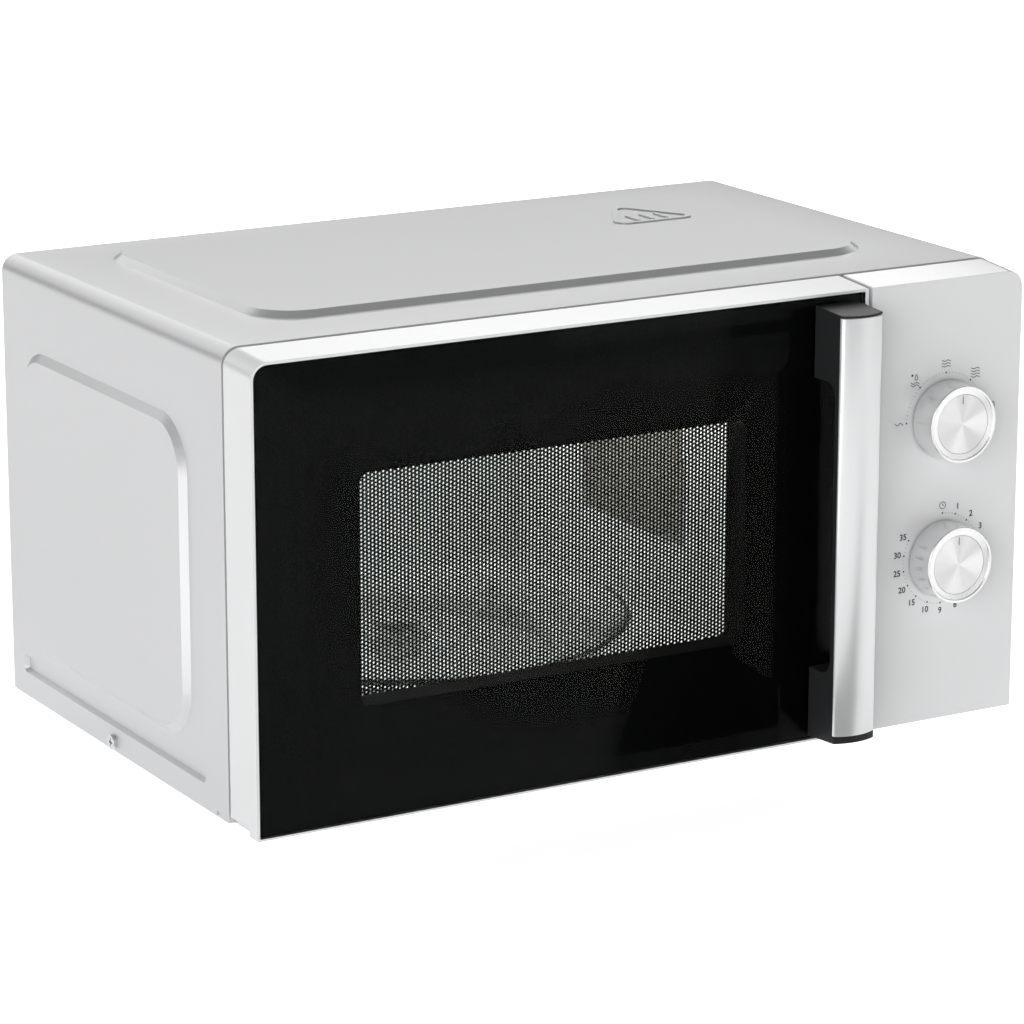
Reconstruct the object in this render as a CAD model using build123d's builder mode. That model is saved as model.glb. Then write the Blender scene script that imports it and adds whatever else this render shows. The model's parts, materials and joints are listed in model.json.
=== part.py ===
"""A countertop microwave oven with two knobs, a side-hinged glass door and a turntable.

The frame has its origin on the floor under the middle of the oven: +X points to the right of a person facing
the door, +Y points away from them and +Z points up. All sizes are in millimetres.
"""

from build123d import *
import os
from math import cos, radians, sin

os.makedirs("parts", exist_ok=True)

# ----------------------------------------------------------------------------------------- driving dimensions
width = 452.0            # over the casing's flat sides
body_height = 240.0      # from the door's lower edge to the casing's flat top
body_depth = 292.0       # from the face of the door glass to the casing's rear edge
foot_height = 13.0       # from the floor to the door's lower edge
handle_reach = 27.5      # how far the handle's crown stands in front of the glass
rear_bulge = 18.0        # how far the pressing in the rear panel stands out
control_width = 95.0     # of the control panel

steel = 0.8              # sheet steel of the casing, cavity, frame and panels
moulding = 2.2           # wall of the plastic mouldings
play = 0.3               # gap between pieces that pass each other
running = 0.05           # radial clearance of a pin or shaft in its hole
slack = 0.1              # radial clearance of a screw or stem in its hole

# Casing pressings
casing_radius = 9.0      # of the casing's two upper long edges
press_rise = 3.0         # how far the raised panels stand out
press_run = 4.2          # width of the sloping border round a raised panel
press_radius = 28.0      # corner radius of a raised panel
press_front = 69.0       # from the door's face to the front border of the raised panels
press_rear = 24.0        # from the rear border of the raised panels to the casing's rear edge
top_press_inset = 44.0   # from the casing's side to the top panel's border
side_press_low = 30.5    # height of the side panel's lower border above the body's bottom
side_press_inset = 44.3  # from the side panel's upper border to the casing's top
groove_front = 54.5      # from the door's face to the front end of the groove low on each side
groove_rear = 14.5       # from the groove's rear end to the casing's rear edge
groove_low = 14.2        # height of the groove's lower border above the body's bottom
groove_height = 10.0
groove_depth = 2.5
skirt_gap = 1.6          # from the body's bottom to the casing's lower edge
hem = 1.8                # thickness of the rolled front edge of the casing
hem_depth = 2.0
ridge_from_right = 65.0  # from the top panel's right border to the middle of the three-sided ridge on it
ridge_from_rear = 82.0   # from its rear border to the ridge's front edge
ridge_side, ridge_radius = 58.0, 7.0
ridge_width, ridge_rise = 3.2, 0.8
rib_count, rib_pitch = 3, 9.0

# Door and its seam
door_depth = 27.0        # from the glass to the rear edge of the door's frame
seam_gap = 2.0           # between the door's frame and the casing
front_inset = 1.0        # the mouldings' faces are this much smaller at each side than the casing
front_drop = 2.4         # and this much lower than the casing's top
panel_gap = 2.2          # between the door and the control panel
fascia_radius = 9.0      # of the outer upper corners of the door and the control panel
edge_radius = 0.8        # of the mouldings' other corners
glass_thickness = 3.2
glass_border = 1.5       # width of the door frame's rim that shows round the glass
glass_bottom_border = 1.1
glass_right_border = 2.1
lip_depth = 8.5          # of the part of the door that reaches down to the body's bottom
lip_height = 5.0         # how much higher the door's underside is behind that lip
window_width = 222.3     # inside the window sleeve
window_height = 117.6
window_middle = 117.7    # height of the window's middle above the body's bottom
window_radius = 6.0
screen_depth = 20.0      # from the glass's face to the perforated screen
screen_sheet = 0.6

# Hinge
hinge_inset = 8.0        # from the casing's side to the hinge axis
hinge_depth = 15.5       # from the glass's face to the hinge axis
hinge_pin_radius = 2.0
hinge_tab_width = 9.0
hinge_arm_offset = 20.0  # how far the upper arm passes beside the axis
hinge_arm_width = 6.0
hinge_plate = 2.0

# Handle
handle_width = 25.0
handle_from_right = 7.8  # from the door's right edge to the handle's right side
handle_top = 5.3         # from the door's upper edge to the handle's upper end
handle_bottom = 3.5      # from the door's lower edge to the handle's lower end
post_height = 37.5
grip_back = 3.5          # thickness of the grip behind the facing
facing_crown = 3.5       # height of the facing's curved front
post_taper = 1.8         # how much the grip's ends slope inwards towards the crown
facing_edge = 1.5        # thickness of the facing at its sides
cap_low = 5.5            # from the handle's lower end to the facing
cap_high = 2.8           # from the facing to the handle's upper end
grip_corner = 8.0        # radius between the grip and its posts
handle_screw_radius = 2.0

# Cavity
side_gap = 19.0          # from the casing's side to the cavity's left wall, inside
compartment = 129.0      # from the cavity's right wall, inside, to the casing's right side
cavity_low = 24.0        # height of the cavity's floor above the body's bottom
cavity_top_gap = 14.0    # from the cavity's ceiling to the casing's top
cavity_overrun = 12.0    # how far the cavity reaches back past the casing's rear edge
cavity_radius = 10.0
track_depth = 1.2        # of the round roller track pressed into the floor
track_width = 9.0
front_frame_setback = 1.6  # from the casing's front edge to the front frame

# Turntable
plate_clearance = 13.5   # between the glass plate and the nearest wall
plate_thickness = 4.5
plate_rim = 11.0         # height of the plate's rim over its underside
roller_radius = 7.7
roller_width = 5.0
axle_radius = 1.6
drive_shaft_radius = 3.5
motor_radius = 24.5

# Controls
knob_radius = 21.3       # at the panel
knob_nose_radius = 20.4  # at its face
knob_length = 16.0
knob_gap = 0.8
knob_dish_radius = 16.0
knob_dish_depth = 2.4
knob_spacing = 75.5
knob_from_top = 74.1     # from the panel's upper edge to the upper knob's axis
shaft_radius = 3.0

# Interlock
hook_width = 4.5
hook_height = 7.0
hook_nose = 3.5          # how far the hook's nose hangs down, and how far the latch travels
hook_reach = 19.0        # how far a hook stands out of the door's rear edge
switch_travel = 1.5
switch_long, switch_deep = 27.8, 15.9
switch_half = 5.15       # half of a switch's thickness
button_length = switch_travel + 1.0
board_sheet = 2.2        # of the latch board

# Component bay
coil_half = 30.0         # half the width of the transformer's windings
coil_gap = 2.55          # between the windings and the latch board
core_length = 70.0       # of the transformer's laminations
coil_over = 14.0         # how far the windings stand out of the laminations
can_gap = 11.8           # between the capacitor and the fan's duct
diode_share = 0.23       # of the free depth, ahead of the diode
port_height, port_width = 44.0, 72.0   # of the waveguide's mouth
port_from_rear = 111.5   # from the casing's rear edge to the middle of the mouth
port_from_ceiling = 97.0
cover_long, cover_high = 103.0, 108.0  # of the mica cover over the mouth
guide_margin = 6.0       # from the mouth to the waveguide's sides
duct_length = 30.0       # of the fan's duct

# --------------------------------------------------------------------------------------------- derived places
front = (handle_reach - body_depth - rear_bulge) / 2   # y of the glass's face
rear = front + body_depth
bottom = foot_height                                   # z of the door's lower edge
top = bottom + body_height
left, right = -width / 2, width / 2
casing_depth = door_depth + seam_gap                   # from the glass's face to the casing's front edge
frame_depth = casing_depth + front_frame_setback       # to the front frame's face
frame_back = frame_depth + steel
casing_low = bottom + skirt_gap

door_left = left + front_inset
panel_right = right - front_inset
panel_left = panel_right - control_width
door_right = panel_left - panel_gap
fascia_top = top - front_drop                          # upper edge of the door and the panel, at their faces

cavity_left = left + side_gap
cavity_right = right - compartment
cavity_floor = bottom + cavity_low
cavity_ceiling = top - cavity_top_gap
cavity_depth = body_depth + cavity_overrun             # from the glass's face to the cavity's rear wall
cavity = (cavity_left, cavity_right, cavity_floor, cavity_ceiling)
spindle_x = (cavity_left + cavity_right) / 2           # the turntable's axis
spindle_y = front + (frame_back + cavity_depth) / 2

hinge_x = left + hinge_inset
window_z = bottom + window_middle
window = (spindle_x - window_width / 2, spindle_x + window_width / 2,
          window_z - window_height / 2, window_z + window_height / 2)
knob_x = (panel_left + panel_right) / 2
knob_high = fascia_top - knob_from_top
knob_low = knob_high - knob_spacing
handle_right = door_right - handle_from_right
handle_left = handle_right - handle_width
handle_high = fascia_top - handle_top
handle_low = bottom + handle_bottom
handle_x = (handle_left + handle_right) / 2

hook_tip = door_depth + hook_reach                     # depths, as all below
switch_front = hook_tip + play + button_length
switch_back = switch_front + switch_deep
port_depth = body_depth - port_from_rear
generator_front = port_depth - port_width / 2 - guide_margin
shroud_back = body_depth - steel
shroud_front = shroud_back - duct_length
lamp_depth = casing_depth + 70.0
lamp_z = cavity_ceiling - 40.0


# -------------------------------------------------------------------------------------- ways of making shapes
def depth(d):
    """The XZ plane at a depth behind the glass's face; sketches on it read x and z."""
    return Plane.XZ.offset(-(front + d))


def grow(limits, by):
    """Limits (low x, high x, low z, high z) moved outwards on every side."""
    return (limits[0] - by, limits[1] + by, limits[2] - by, limits[3] + by)


def block(x, d, z, mode=Mode.ADD):
    """A box given by its low and high limit in x, in depth behind the glass's face and in z."""
    with Locations(((x[0] + x[1]) / 2, front + (d[0] + d[1]) / 2, (z[0] + z[1]) / 2)):
        Box(x[1] - x[0], d[1] - d[0], z[1] - z[0], mode=mode)


def rod(x, d, z, direction, radius, length, mode=Mode.ADD):
    """A cylinder that starts at a point and runs along a direction."""
    with Locations(Plane(origin=(x, front + d, z), z_dir=direction)):
        Cylinder(radius, length, align=(Align.CENTER, Align.CENTER, Align.MIN), mode=mode)


def rounded(limits, radius, mode=Mode.ADD):
    """A rectangle with rounded corners, inside a sketch on a depth plane."""
    with Locations(((limits[0] + limits[1]) / 2, (limits[2] + limits[3]) / 2)):
        RectangleRounded(limits[1] - limits[0], limits[3] - limits[2], radius, mode=mode)


def sheet(d, limits, radius, thickness, hole=None, hole_radius=1.0, mode=Mode.ADD):
    """A plate that starts at a depth and goes back by its thickness, with or without a rounded window."""
    with BuildSketch(depth(d)) as outline:
        rounded(limits, radius)
        if hole:
            rounded(hole, hole_radius, mode=Mode.SUBTRACT)
    extrude(outline.sketch, amount=-thickness, mode=mode)


def pressing(plane, length, breadth, radius, rise, run, mode=Mode.ADD):
    """A panel with rounded corners and sloping borders that stands up from a plane."""
    with BuildSketch(plane) as foot:
        RectangleRounded(length, breadth, radius)
    with BuildSketch(plane.offset(rise)) as crown:
        RectangleRounded(length - 2 * run, breadth - 2 * run, radius - run)
    loft([foot.sketch, crown.sketch], ruled=True, mode=mode)


def fascia(d, limits, big_corner, radius=None):
    """The outline of a front moulding. Its upper left (0) or upper right (-1) corner is the big one."""
    with BuildSketch(depth(d)) as outline:
        with Locations(((limits[0] + limits[1]) / 2, (limits[2] + limits[3]) / 2)):
            Rectangle(limits[1] - limits[0], limits[3] - limits[2])
        fillet(outline.vertices().group_by(Axis.Y)[-1].sort_by(Axis.X)[big_corner], radius or fascia_radius)
        upper = outline.vertices().group_by(Axis.Y)[-1].sort_by(Axis.X)
        fillet([*outline.vertices().group_by(Axis.Y)[0], upper[-1 - big_corner]], edge_radius)
    return outline.sketch


def slots(plane, columns, rows, pitch_x, pitch_y, length, breadth, angle, through):
    """A grid of vent slots cut through a sheet that lies on a plane."""
    with BuildSketch(plane) as grid:
        with GridLocations(pitch_x, pitch_y, columns, rows):
            SlotOverall(length, breadth, rotation=angle)
    extrude(grid.sketch, amount=through, both=True, mode=Mode.SUBTRACT)


def finish(piece, name):
    """Gives a finished piece its label and writes its file."""
    piece.part.label = name
    export_step(piece.part, f"parts/{name}.step")


# ----------------------------------------------------------------------------------------- casing and chassis
side_height = body_height - side_press_inset - side_press_low
side_middle = bottom + side_press_low + side_height / 2
press_length = body_depth - press_front - press_rear
press_y = front + press_front + press_length / 2
top_press = Plane(origin=(0, press_y, top))
groove_length = body_depth - groove_front - groove_rear
groove_y = front + groove_front + groove_length / 2
groove_z = bottom + groove_low + groove_height / 2


def side(x, outwards, y, z):
    """A plane on a side of the casing: its local x runs along the side and its local y runs up."""
    return Plane(origin=(x, y, z), x_dir=(0, outwards, 0), z_dir=(outwards, 0, 0))


casing_screw_depth = 163.0
casing_screw_z = bottom + 6.0
screw_radius = 1.9
screw_head_radius = 4.0
screw_head = 2.2
notch_depth = 40.7       # to the small notch in the casing's lower edges
notch_width = 4.0
vent_length, vent_breadth = 26.0, 3.0

ridge_x = right - top_press_inset - ridge_from_right
ridge_y = press_length / 2 - ridge_from_rear + ridge_side / 3.46


def three_sided(length, radius):
    """A rounded triangle of equal sides, its middle at the origin and one corner towards the rear."""
    with BuildSketch() as outline:
        RegularPolygon(length / 3 ** 0.5, 3, rotation=90)
        fillet(outline.vertices(), radius)
    return outline.sketch


casing = (left, right, casing_low, top)
inner = grow(casing, -steel)
with BuildPart() as outer_casing:
    with BuildSketch(depth(casing_depth)) as shell:
        with Locations((0, (casing_low + top) / 2)):
            Rectangle(width, top - casing_low)
        fillet(shell.vertices().group_by(Axis.Y)[-1], casing_radius)
    extrude(shell.sketch, amount=-(body_depth - casing_depth))
    for start, wall, length in ((casing_depth, hem, hem_depth), (casing_depth + hem_depth, steel,
                                                                 body_depth)):
        with BuildSketch(depth(start)) as hollow:
            with Locations((0, (casing_low + top) / 2 - wall)):
                Rectangle(width - 2 * wall, top - casing_low)
            fillet(hollow.vertices().group_by(Axis.Y)[-1], casing_radius - wall)
        extrude(hollow.sketch, amount=-length, mode=Mode.SUBTRACT)
    top_width = width - 2 * top_press_inset
    pressing(top_press, top_width, press_length, press_radius, press_rise, press_run)
    pressing(top_press.offset(-steel), top_width - 2 * steel, press_length - 2 * steel, press_radius - steel,
             press_rise, press_run, mode=Mode.SUBTRACT)
    for x, outwards in ((left, -1), (right, 1)):
        panel = side(x, outwards, press_y, side_middle)
        pressing(panel, press_length, side_height, press_radius, press_rise, press_run)
        pressing(panel.offset(-steel), press_length - 2 * steel, side_height - 2 * steel,
                 press_radius - steel,
                 press_rise, press_run, mode=Mode.SUBTRACT)
        inwards = side(x, -outwards, groove_y, groove_z)
        pressing(inwards, groove_length + 2 * steel, groove_height + 2 * steel, 4.0, groove_depth + steel,
                 1.5)
        pressing(inwards, groove_length, groove_height, 4.0 - steel, groove_depth, 1.5, mode=Mode.SUBTRACT)
        rod(x - outwards * 5, casing_screw_depth, casing_screw_z, (outwards, 0, 0), screw_radius + slack, 10,
            mode=Mode.SUBTRACT)
        block((x - 3, x + 3), (notch_depth - notch_width / 2, notch_depth + notch_width / 2),
              (casing_low - 1, casing_low + 2.4), mode=Mode.SUBTRACT)
    with BuildSketch(top_press.offset(press_rise)) as ridge:
        with Locations((ridge_x, ridge_y)):
            add(three_sided(ridge_side, ridge_radius))
            add(three_sided(ridge_side - 3.46 * ridge_width, ridge_radius - ridge_width), mode=Mode.SUBTRACT)
        with Locations((ridge_x, ridge_y - 4)):
            with GridLocations(rib_pitch, 0, rib_count, 1):
                SlotOverall(15.0, 2.4, rotation=90)
    extrude(ridge.sketch, amount=ridge_rise)
    vent_plane = side(right + press_rise, 1, press_y + 40, side_middle + 20)
    slots(vent_plane, 10, 2, 8.0, 34.0, vent_length, vent_breadth, 90, 12)
finish(outer_casing, "outer_casing")

base_sheet = 0.8
base_low = bottom + 0.4
base_top = base_low + base_sheet
base_flange = 12.0       # from the body's bottom to the upper edge of the base's side flanges
base_limits = (left + steel + slack, right - steel - slack)
foot_inset, foot_radius = 52.0, 9.0
foot_front, foot_rear = casing_depth + 40.0, body_depth - 36.0
foot_screw = 2.0
feet_places = [(x, d) for x in (left + foot_inset, right - foot_inset) for d in (foot_front, foot_rear)]
with BuildPart() as base_plate:
    block(base_limits, (frame_back, body_depth - steel), (base_low, base_top))
    for x in (base_limits[0], base_limits[1] - base_sheet):
        block((x, x + base_sheet), (frame_back, body_depth - steel), (base_low, bottom + base_flange))
    block(base_limits, (body_depth - steel - base_sheet, body_depth - steel), (base_low,
                                                                               bottom + base_flange))
    for x, outwards in ((left, -1), (right, 1)):
        rod(x - outwards * 5, casing_screw_depth, casing_screw_z, (outwards, 0, 0), screw_radius + slack, 10,
            mode=Mode.SUBTRACT)
    for x, d in feet_places:
        rod(x, d, base_low - 1, (0, 0, 1), foot_screw + slack, 5, mode=Mode.SUBTRACT)
    slots(Plane(origin=(cavity_right + compartment / 2, rear - 120, base_low)), 8, 2, 9.0, 40.0, 30.0, 3.5,
          90, 5)
    slots(Plane(origin=(spindle_x, rear - 60, base_low)), 10, 1, 9.0, 40.0, 24.0, 3.5, 90, 5)
finish(base_plate, "base_plate")

foot_lip = 1.5
with BuildPart() as feet:
    for x, d in feet_places:
        with Locations((x, front + d, 0)):
            Cone(foot_radius - 1.5, foot_radius, base_low, align=(Align.CENTER, Align.CENTER, Align.MIN))
        rod(x, d, base_low, (0, 0, 1), foot_screw, base_sheet + foot_lip)
        rod(x, d, base_top, (0, 0, 1), foot_screw + 1.5, foot_lip)
finish(feet, "feet")

# The cavity: a deep box of enamelled sheet, open to the front
port_z = cavity_ceiling - port_from_ceiling
plate_radius = min(cavity_right - cavity_left, cavity_depth - frame_back) / 2 - plate_clearance
roller_reach = plate_radius - 29.0                         # from the spindle to the middle of a roller
with BuildPart() as oven_cavity:
    sheet(frame_back, grow(cavity, steel), cavity_radius + steel, cavity_depth + steel - frame_back)
    sheet(frame_back, cavity, cavity_radius, cavity_depth - frame_back, mode=Mode.SUBTRACT)
    with Locations((spindle_x, spindle_y, cavity_floor - steel)):
        Cylinder(roller_reach + track_width / 2 + steel, track_depth,
                 align=(Align.CENTER, Align.CENTER, Align.MAX))
        Cylinder(roller_reach - track_width / 2 - steel, track_depth,
                 align=(Align.CENTER, Align.CENTER, Align.MAX), mode=Mode.SUBTRACT)
    with BuildSketch(Plane.XY.offset(cavity_floor - track_depth)) as track:
        with Locations((spindle_x, spindle_y)):
            Circle(roller_reach + track_width / 2)
            Circle(roller_reach - track_width / 2, mode=Mode.SUBTRACT)
    extrude(track.sketch, amount=track_depth + 1, mode=Mode.SUBTRACT)
    with Locations((spindle_x, spindle_y, cavity_floor)):
        Cylinder(drive_shaft_radius + 1.5, 6, mode=Mode.SUBTRACT)
    with Locations((cavity_right, front + port_depth, port_z)):
        Box(6, port_width, port_height, mode=Mode.SUBTRACT)
    slots(side(cavity_right, 1, front + lamp_depth, lamp_z), 6, 6, 5.0, 5.0, 3.4, 3.2, 0, 3)
    slots(side(cavity_left, -1, front + body_depth - 70, lamp_z), 12, 4, 5.0, 5.0, 3.4, 3.2, 0, 3)
finish(oven_cavity, "oven_cavity")

# Rear panel with the pressing that makes room for the cavity
rear_margin, rear_run, rear_radius = 7.0, 6.0, 20.0
cavity_wide = cavity_right - cavity_left + 2 * (steel + rear_margin)
cavity_high = cavity_ceiling - cavity_floor + 2 * (steel + rear_margin)
rear_plane = Plane(origin=((cavity_left + cavity_right) / 2, rear, (cavity_floor + cavity_ceiling) / 2),
                   x_dir=(-1, 0, 0), z_dir=(0, 1, 0))
rear_edge = 7.0                                            # from the casing's outline to the rear screws
rear_screws_at = [(left + rear_edge + 14, top - 4.6), (right - rear_edge, top - 12), (right - rear_edge,
                                                                                      bottom + 30),
                  (left + rear_edge - 2.2, bottom + 60), (cavity_right + 60, top - 4.6)]
fan_x, fan_z = right - 54.0, bottom + 66.0
fan_radius = 38.0
inlet_x, inlet_z = right - 24.0, bottom + 128.0
inlet_radius = 6.5
with BuildPart() as rear_panel:
    with BuildSketch(depth(body_depth - steel)) as plate:
        with Locations((0, (base_low + inner[3] - slack) / 2)):
            Rectangle(width - 2 * steel - 2 * slack, inner[3] - slack - base_low)
        fillet(plate.vertices().group_by(Axis.Y)[-1], casing_radius - steel)
    extrude(plate.sketch, amount=-steel)
    pressing(rear_plane, cavity_wide, cavity_high, rear_radius, rear_bulge, rear_run)
    pressing(rear_plane.offset(-steel), cavity_wide - 2 * steel, cavity_high - 2 * steel, rear_radius - steel,
             rear_bulge, rear_run, mode=Mode.SUBTRACT)
    for x, z in rear_screws_at:
        rod(x, body_depth - 5, z, (0, 1, 0), screw_radius + slack, 10, mode=Mode.SUBTRACT)
    rod(inlet_x, body_depth - 5, inlet_z, (0, 1, 0), inlet_radius + slack, 10, mode=Mode.SUBTRACT)
    slots(Plane(origin=(fan_x, rear, fan_z), x_dir=(-1, 0, 0), z_dir=(0, 1, 0)), 9, 3, 8.0, 24.0, 20.0, 3.5,
          90, 3)
    slots(Plane(origin=(fan_x, rear, top - 50), x_dir=(-1, 0, 0), z_dir=(0, 1, 0)), 9, 2, 8.0, 24.0, 20.0,
          3.5,
          90, 3)
finish(rear_panel, "rear_panel")

with BuildPart() as rear_screws:
    for x, z in rear_screws_at:
        rod(x, body_depth, z, (0, 1, 0), screw_head_radius - 0.6, screw_head)
        rod(x, body_depth - 6, z, (0, 1, 0), screw_radius, 6)
finish(rear_screws, "rear_screws")

with BuildPart() as casing_screws:
    for x, outwards in ((left, -1), (right, 1)):
        rod(x, casing_screw_depth, casing_screw_z, (outwards, 0, 0), screw_head_radius, screw_head)
        rod(x - outwards * 8, casing_screw_depth, casing_screw_z, (outwards, 0, 0), screw_radius, 8)
    heads = casing_screws.faces().filter_by(Axis.X).sort_by(Axis.X)
    for face, outwards in ((heads[0], -1), (heads[-1], 1)):
        with BuildSketch(side(face.center().X, outwards, face.center().Y, face.center().Z)):
            Rectangle(4.4, 1.0)
            Rectangle(1.0, 4.4)
        extrude(amount=-1.4, mode=Mode.SUBTRACT)
finish(casing_screws, "casing_screws")

# ------------------------------------------------------------------------------------- front frame and hinges
latch_x = (cavity_right + door_right) / 2 + 4.5
hook_low, hook_high = bottom + 62.0, top - 78.0            # undersides of the two hooks
hooks = (hook_low, hook_high)
hook_side = 2.4                                            # clearance at a hook's sides as it swings in
# of the timer unit, beside and beyond the knobs' axes
unit_half_width, unit_over = 26.0, 24.0
unit_limits = (knob_x - unit_half_width, knob_x + unit_half_width, knob_low - unit_over,
               knob_high + unit_over)
arm_top = top - cavity_top_gap + 7.4                       # upper face of the upper hinge's arm
arm_low = arm_top - hinge_plate
tab_low = base_top
tab_top = tab_low + hinge_plate
arm_x = hinge_x + hinge_arm_offset
half_tab = hinge_tab_width / 2
frame_limits = (left + hem + slack, right - hem - slack, casing_low, top - hem - slack)
with BuildPart() as front_frame:
    with BuildSketch(depth(frame_depth)) as plate:
        with Locations(((frame_limits[0] + frame_limits[1]) / 2, (frame_limits[2] + frame_limits[3]) / 2)):
            Rectangle(frame_limits[1] - frame_limits[0], frame_limits[3] - frame_limits[2])
        fillet(plate.vertices().group_by(Axis.Y)[-1], casing_radius - hem)
        rounded(cavity, cavity_radius, mode=Mode.SUBTRACT)
        rounded(grow(unit_limits, 2.0), 4.0, mode=Mode.SUBTRACT)
        for z in hooks:
            rounded((latch_x - hook_width / 2 - hook_side, latch_x + hook_width / 2 + hook_side,
                     z - hook_nose - play, z + hook_height + play), 0.5, mode=Mode.SUBTRACT)
    extrude(plate.sketch, amount=-steel)
    block((hinge_x - half_tab - slack, hinge_x + half_tab + slack), (frame_depth - 1, frame_back + 1),
          (casing_low - 1, tab_top + slack), mode=Mode.SUBTRACT)
finish(front_frame, "front_frame")

pin_length = 9.0
with BuildPart() as lower_hinge:
    block((hinge_x - half_tab, hinge_x + half_tab), (hinge_depth, frame_back + hinge_plate), (tab_low,
                                                                                              tab_top))
    rod(hinge_x, hinge_depth, tab_low, (0, 0, 1), half_tab, hinge_plate)
    block((hinge_x - half_tab + 2, hinge_x + half_tab + 6), (frame_back, frame_back + hinge_plate),
          (tab_low, tab_low + 16))
    rod(hinge_x, hinge_depth, tab_low, (0, 0, 1), hinge_pin_radius, hinge_plate + pin_length)
finish(lower_hinge, "lower_hinge")

with BuildPart() as upper_hinge:
    half_arm = hinge_arm_width / 2
    block((hinge_x, arm_x + half_arm), (hinge_depth - half_arm, hinge_depth + half_arm), (arm_low, arm_top))
    rod(hinge_x, hinge_depth, arm_low, (0, 0, 1), half_arm + 0.8, hinge_plate)
    block((arm_x - half_arm, arm_x + half_arm), (hinge_depth - half_arm, frame_depth), (arm_low, arm_top))
    block((arm_x - 10, arm_x + 10), (frame_depth - hinge_plate, frame_depth), (arm_low, arm_low + 6.0))
    rod(hinge_x, hinge_depth, arm_top, (0, 0, -1), hinge_pin_radius, hinge_plate + pin_length)
finish(upper_hinge, "upper_hinge")

# ------------------------------------------------------------------------------------------------------- door
door_face = (door_left, door_right, bottom, fascia_top)
door_back = (left, door_right, bottom, top - 0.5)
glass_limits = (door_left + glass_border, door_right - glass_right_border,
                bottom + glass_bottom_border, fascia_top - glass_border)
web_back = glass_thickness + moulding
sleeve = 1.4                                               # wall of the window sleeve
sleeve_outside = grow(window, sleeve)
sleeve_flange, sleeve_collar = 5.0, 1.2                    # its reach beside the sleeve, and its thickness
screen_limits = (cavity_left - 4.5, cavity_right + 12.0, cavity_floor - 8.0, cavity_ceiling + 2.5)
choke_limits = grow(screen_limits, 1.6)
choke_wall = 1.2
choke_back = frame_depth - 2.2
choke_window = grow(cavity, -14.0)
screw_places = [(handle_x, handle_high - post_height / 2), (handle_x, handle_low + post_height / 2)]


def hollow(d):
    """The door's inside at a depth: its outline less the wall, and clear of the recess under it."""
    share = d / door_depth
    limits = [face + (back - face) * share for face, back in zip(door_face, door_back)]
    return (limits[0] + moulding, limits[1] - moulding, limits[2] + lip_height + moulding,
            limits[3] - moulding)


seat_half = 6.0                                            # half the width of the moulded hinge seats
seat_top = choke_limits[3] + 0.6                           # upper face of the upper seat, under the arm
guide_z = [(hook_low - 22, hook_low - 14), (hook_high + hook_height + 14, hook_high + hook_height + 22)]
key_front, key_back = 17.0, 21.0
key_depths = (key_front, key_back)
spring_radius, wire = 2.6, 0.35
spring_x = latch_x + hook_width / 2 + spring_radius + 0.4
spring_low, spring_length = hook_low + 20.0, 26.0
with BuildPart() as door_frame:
    loft([fascia(0, door_face, 0), fascia(door_depth, door_back, 0)], ruled=True)
    loft([fascia(web_back, hollow(web_back), 0, fascia_radius - moulding),
          fascia(door_depth + 1, hollow(door_depth + 1), 0,
                 fascia_radius - moulding)], ruled=True, mode=Mode.SUBTRACT)
    pocket = fascia(0, glass_limits, 0, fascia_radius - glass_border)
    extrude(pocket, amount=-glass_thickness, mode=Mode.SUBTRACT)
    block((left - 1, door_right + 1), (lip_depth, door_depth + 1), (bottom - 1, bottom + lip_height),
          mode=Mode.SUBTRACT)
    sheet(glass_thickness - 1, grow(sleeve_outside, play), window_radius + sleeve + play, moulding + 2,
          mode=Mode.SUBTRACT)
    for low, high in ((bottom + lip_height, bottom + lip_height + 9), (seat_top - 11, seat_top)):
        block((door_left + moulding / 2, hinge_x + seat_half), (hinge_depth - seat_half, screen_depth - 0.5),
              (low, high))
        rod(hinge_x, hinge_depth, low - 1, (0, 0, 1), hinge_pin_radius + running, high - low + 2,
            mode=Mode.SUBTRACT)
    for low, high in guide_z:
        block((latch_x - hook_width / 2 - 3, door_right - moulding / 2), (web_back, key_back + 3), (low,
                                                                                                    high))
        block((latch_x - hook_width / 2 - play, latch_x + hook_width / 2 + play), (key_front - play,
                                                                                   key_back + play),
              (low - 1, high + 1), mode=Mode.SUBTRACT)
    block((spring_x - spring_radius, door_right - moulding / 2), key_depths, (spring_low - 3, spring_low))
    for x, z in screw_places:
        rod(x, glass_thickness - 1, z, (0, 1, 0), handle_screw_radius + slack, 10, mode=Mode.SUBTRACT)
finish(door_frame, "door_frame")

# The black sleeve round the window: it passes through the door frame and seats behind it on a collar
with BuildPart() as window_sleeve:
    sheet(glass_thickness, sleeve_outside, window_radius + sleeve, screen_depth - glass_thickness)
    sheet(web_back, grow(sleeve_outside, sleeve_flange), window_radius + sleeve + sleeve_flange,
          sleeve_collar)
    sheet(glass_thickness - 1, window, window_radius, screen_depth, mode=Mode.SUBTRACT)
finish(window_sleeve, "window_sleeve")

with BuildPart() as door_glass:
    extrude(fascia(0, glass_limits, 0, fascia_radius - glass_border), amount=-glass_thickness)
    for x, z in screw_places:
        rod(x, -1, z, (0, 1, 0), handle_screw_radius + slack, 10, mode=Mode.SUBTRACT)
finish(door_glass, "door_glass")

choke_flange = screen_depth + 7.0
with BuildPart() as door_screen:
    sheet(screen_depth, screen_limits, 4.0, screen_sheet)
    sheet(screen_depth, screen_limits, 4.0, choke_flange - screen_depth, grow(screen_limits, -screen_sheet),
          3.4)
finish(door_screen, "door_screen")

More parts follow.
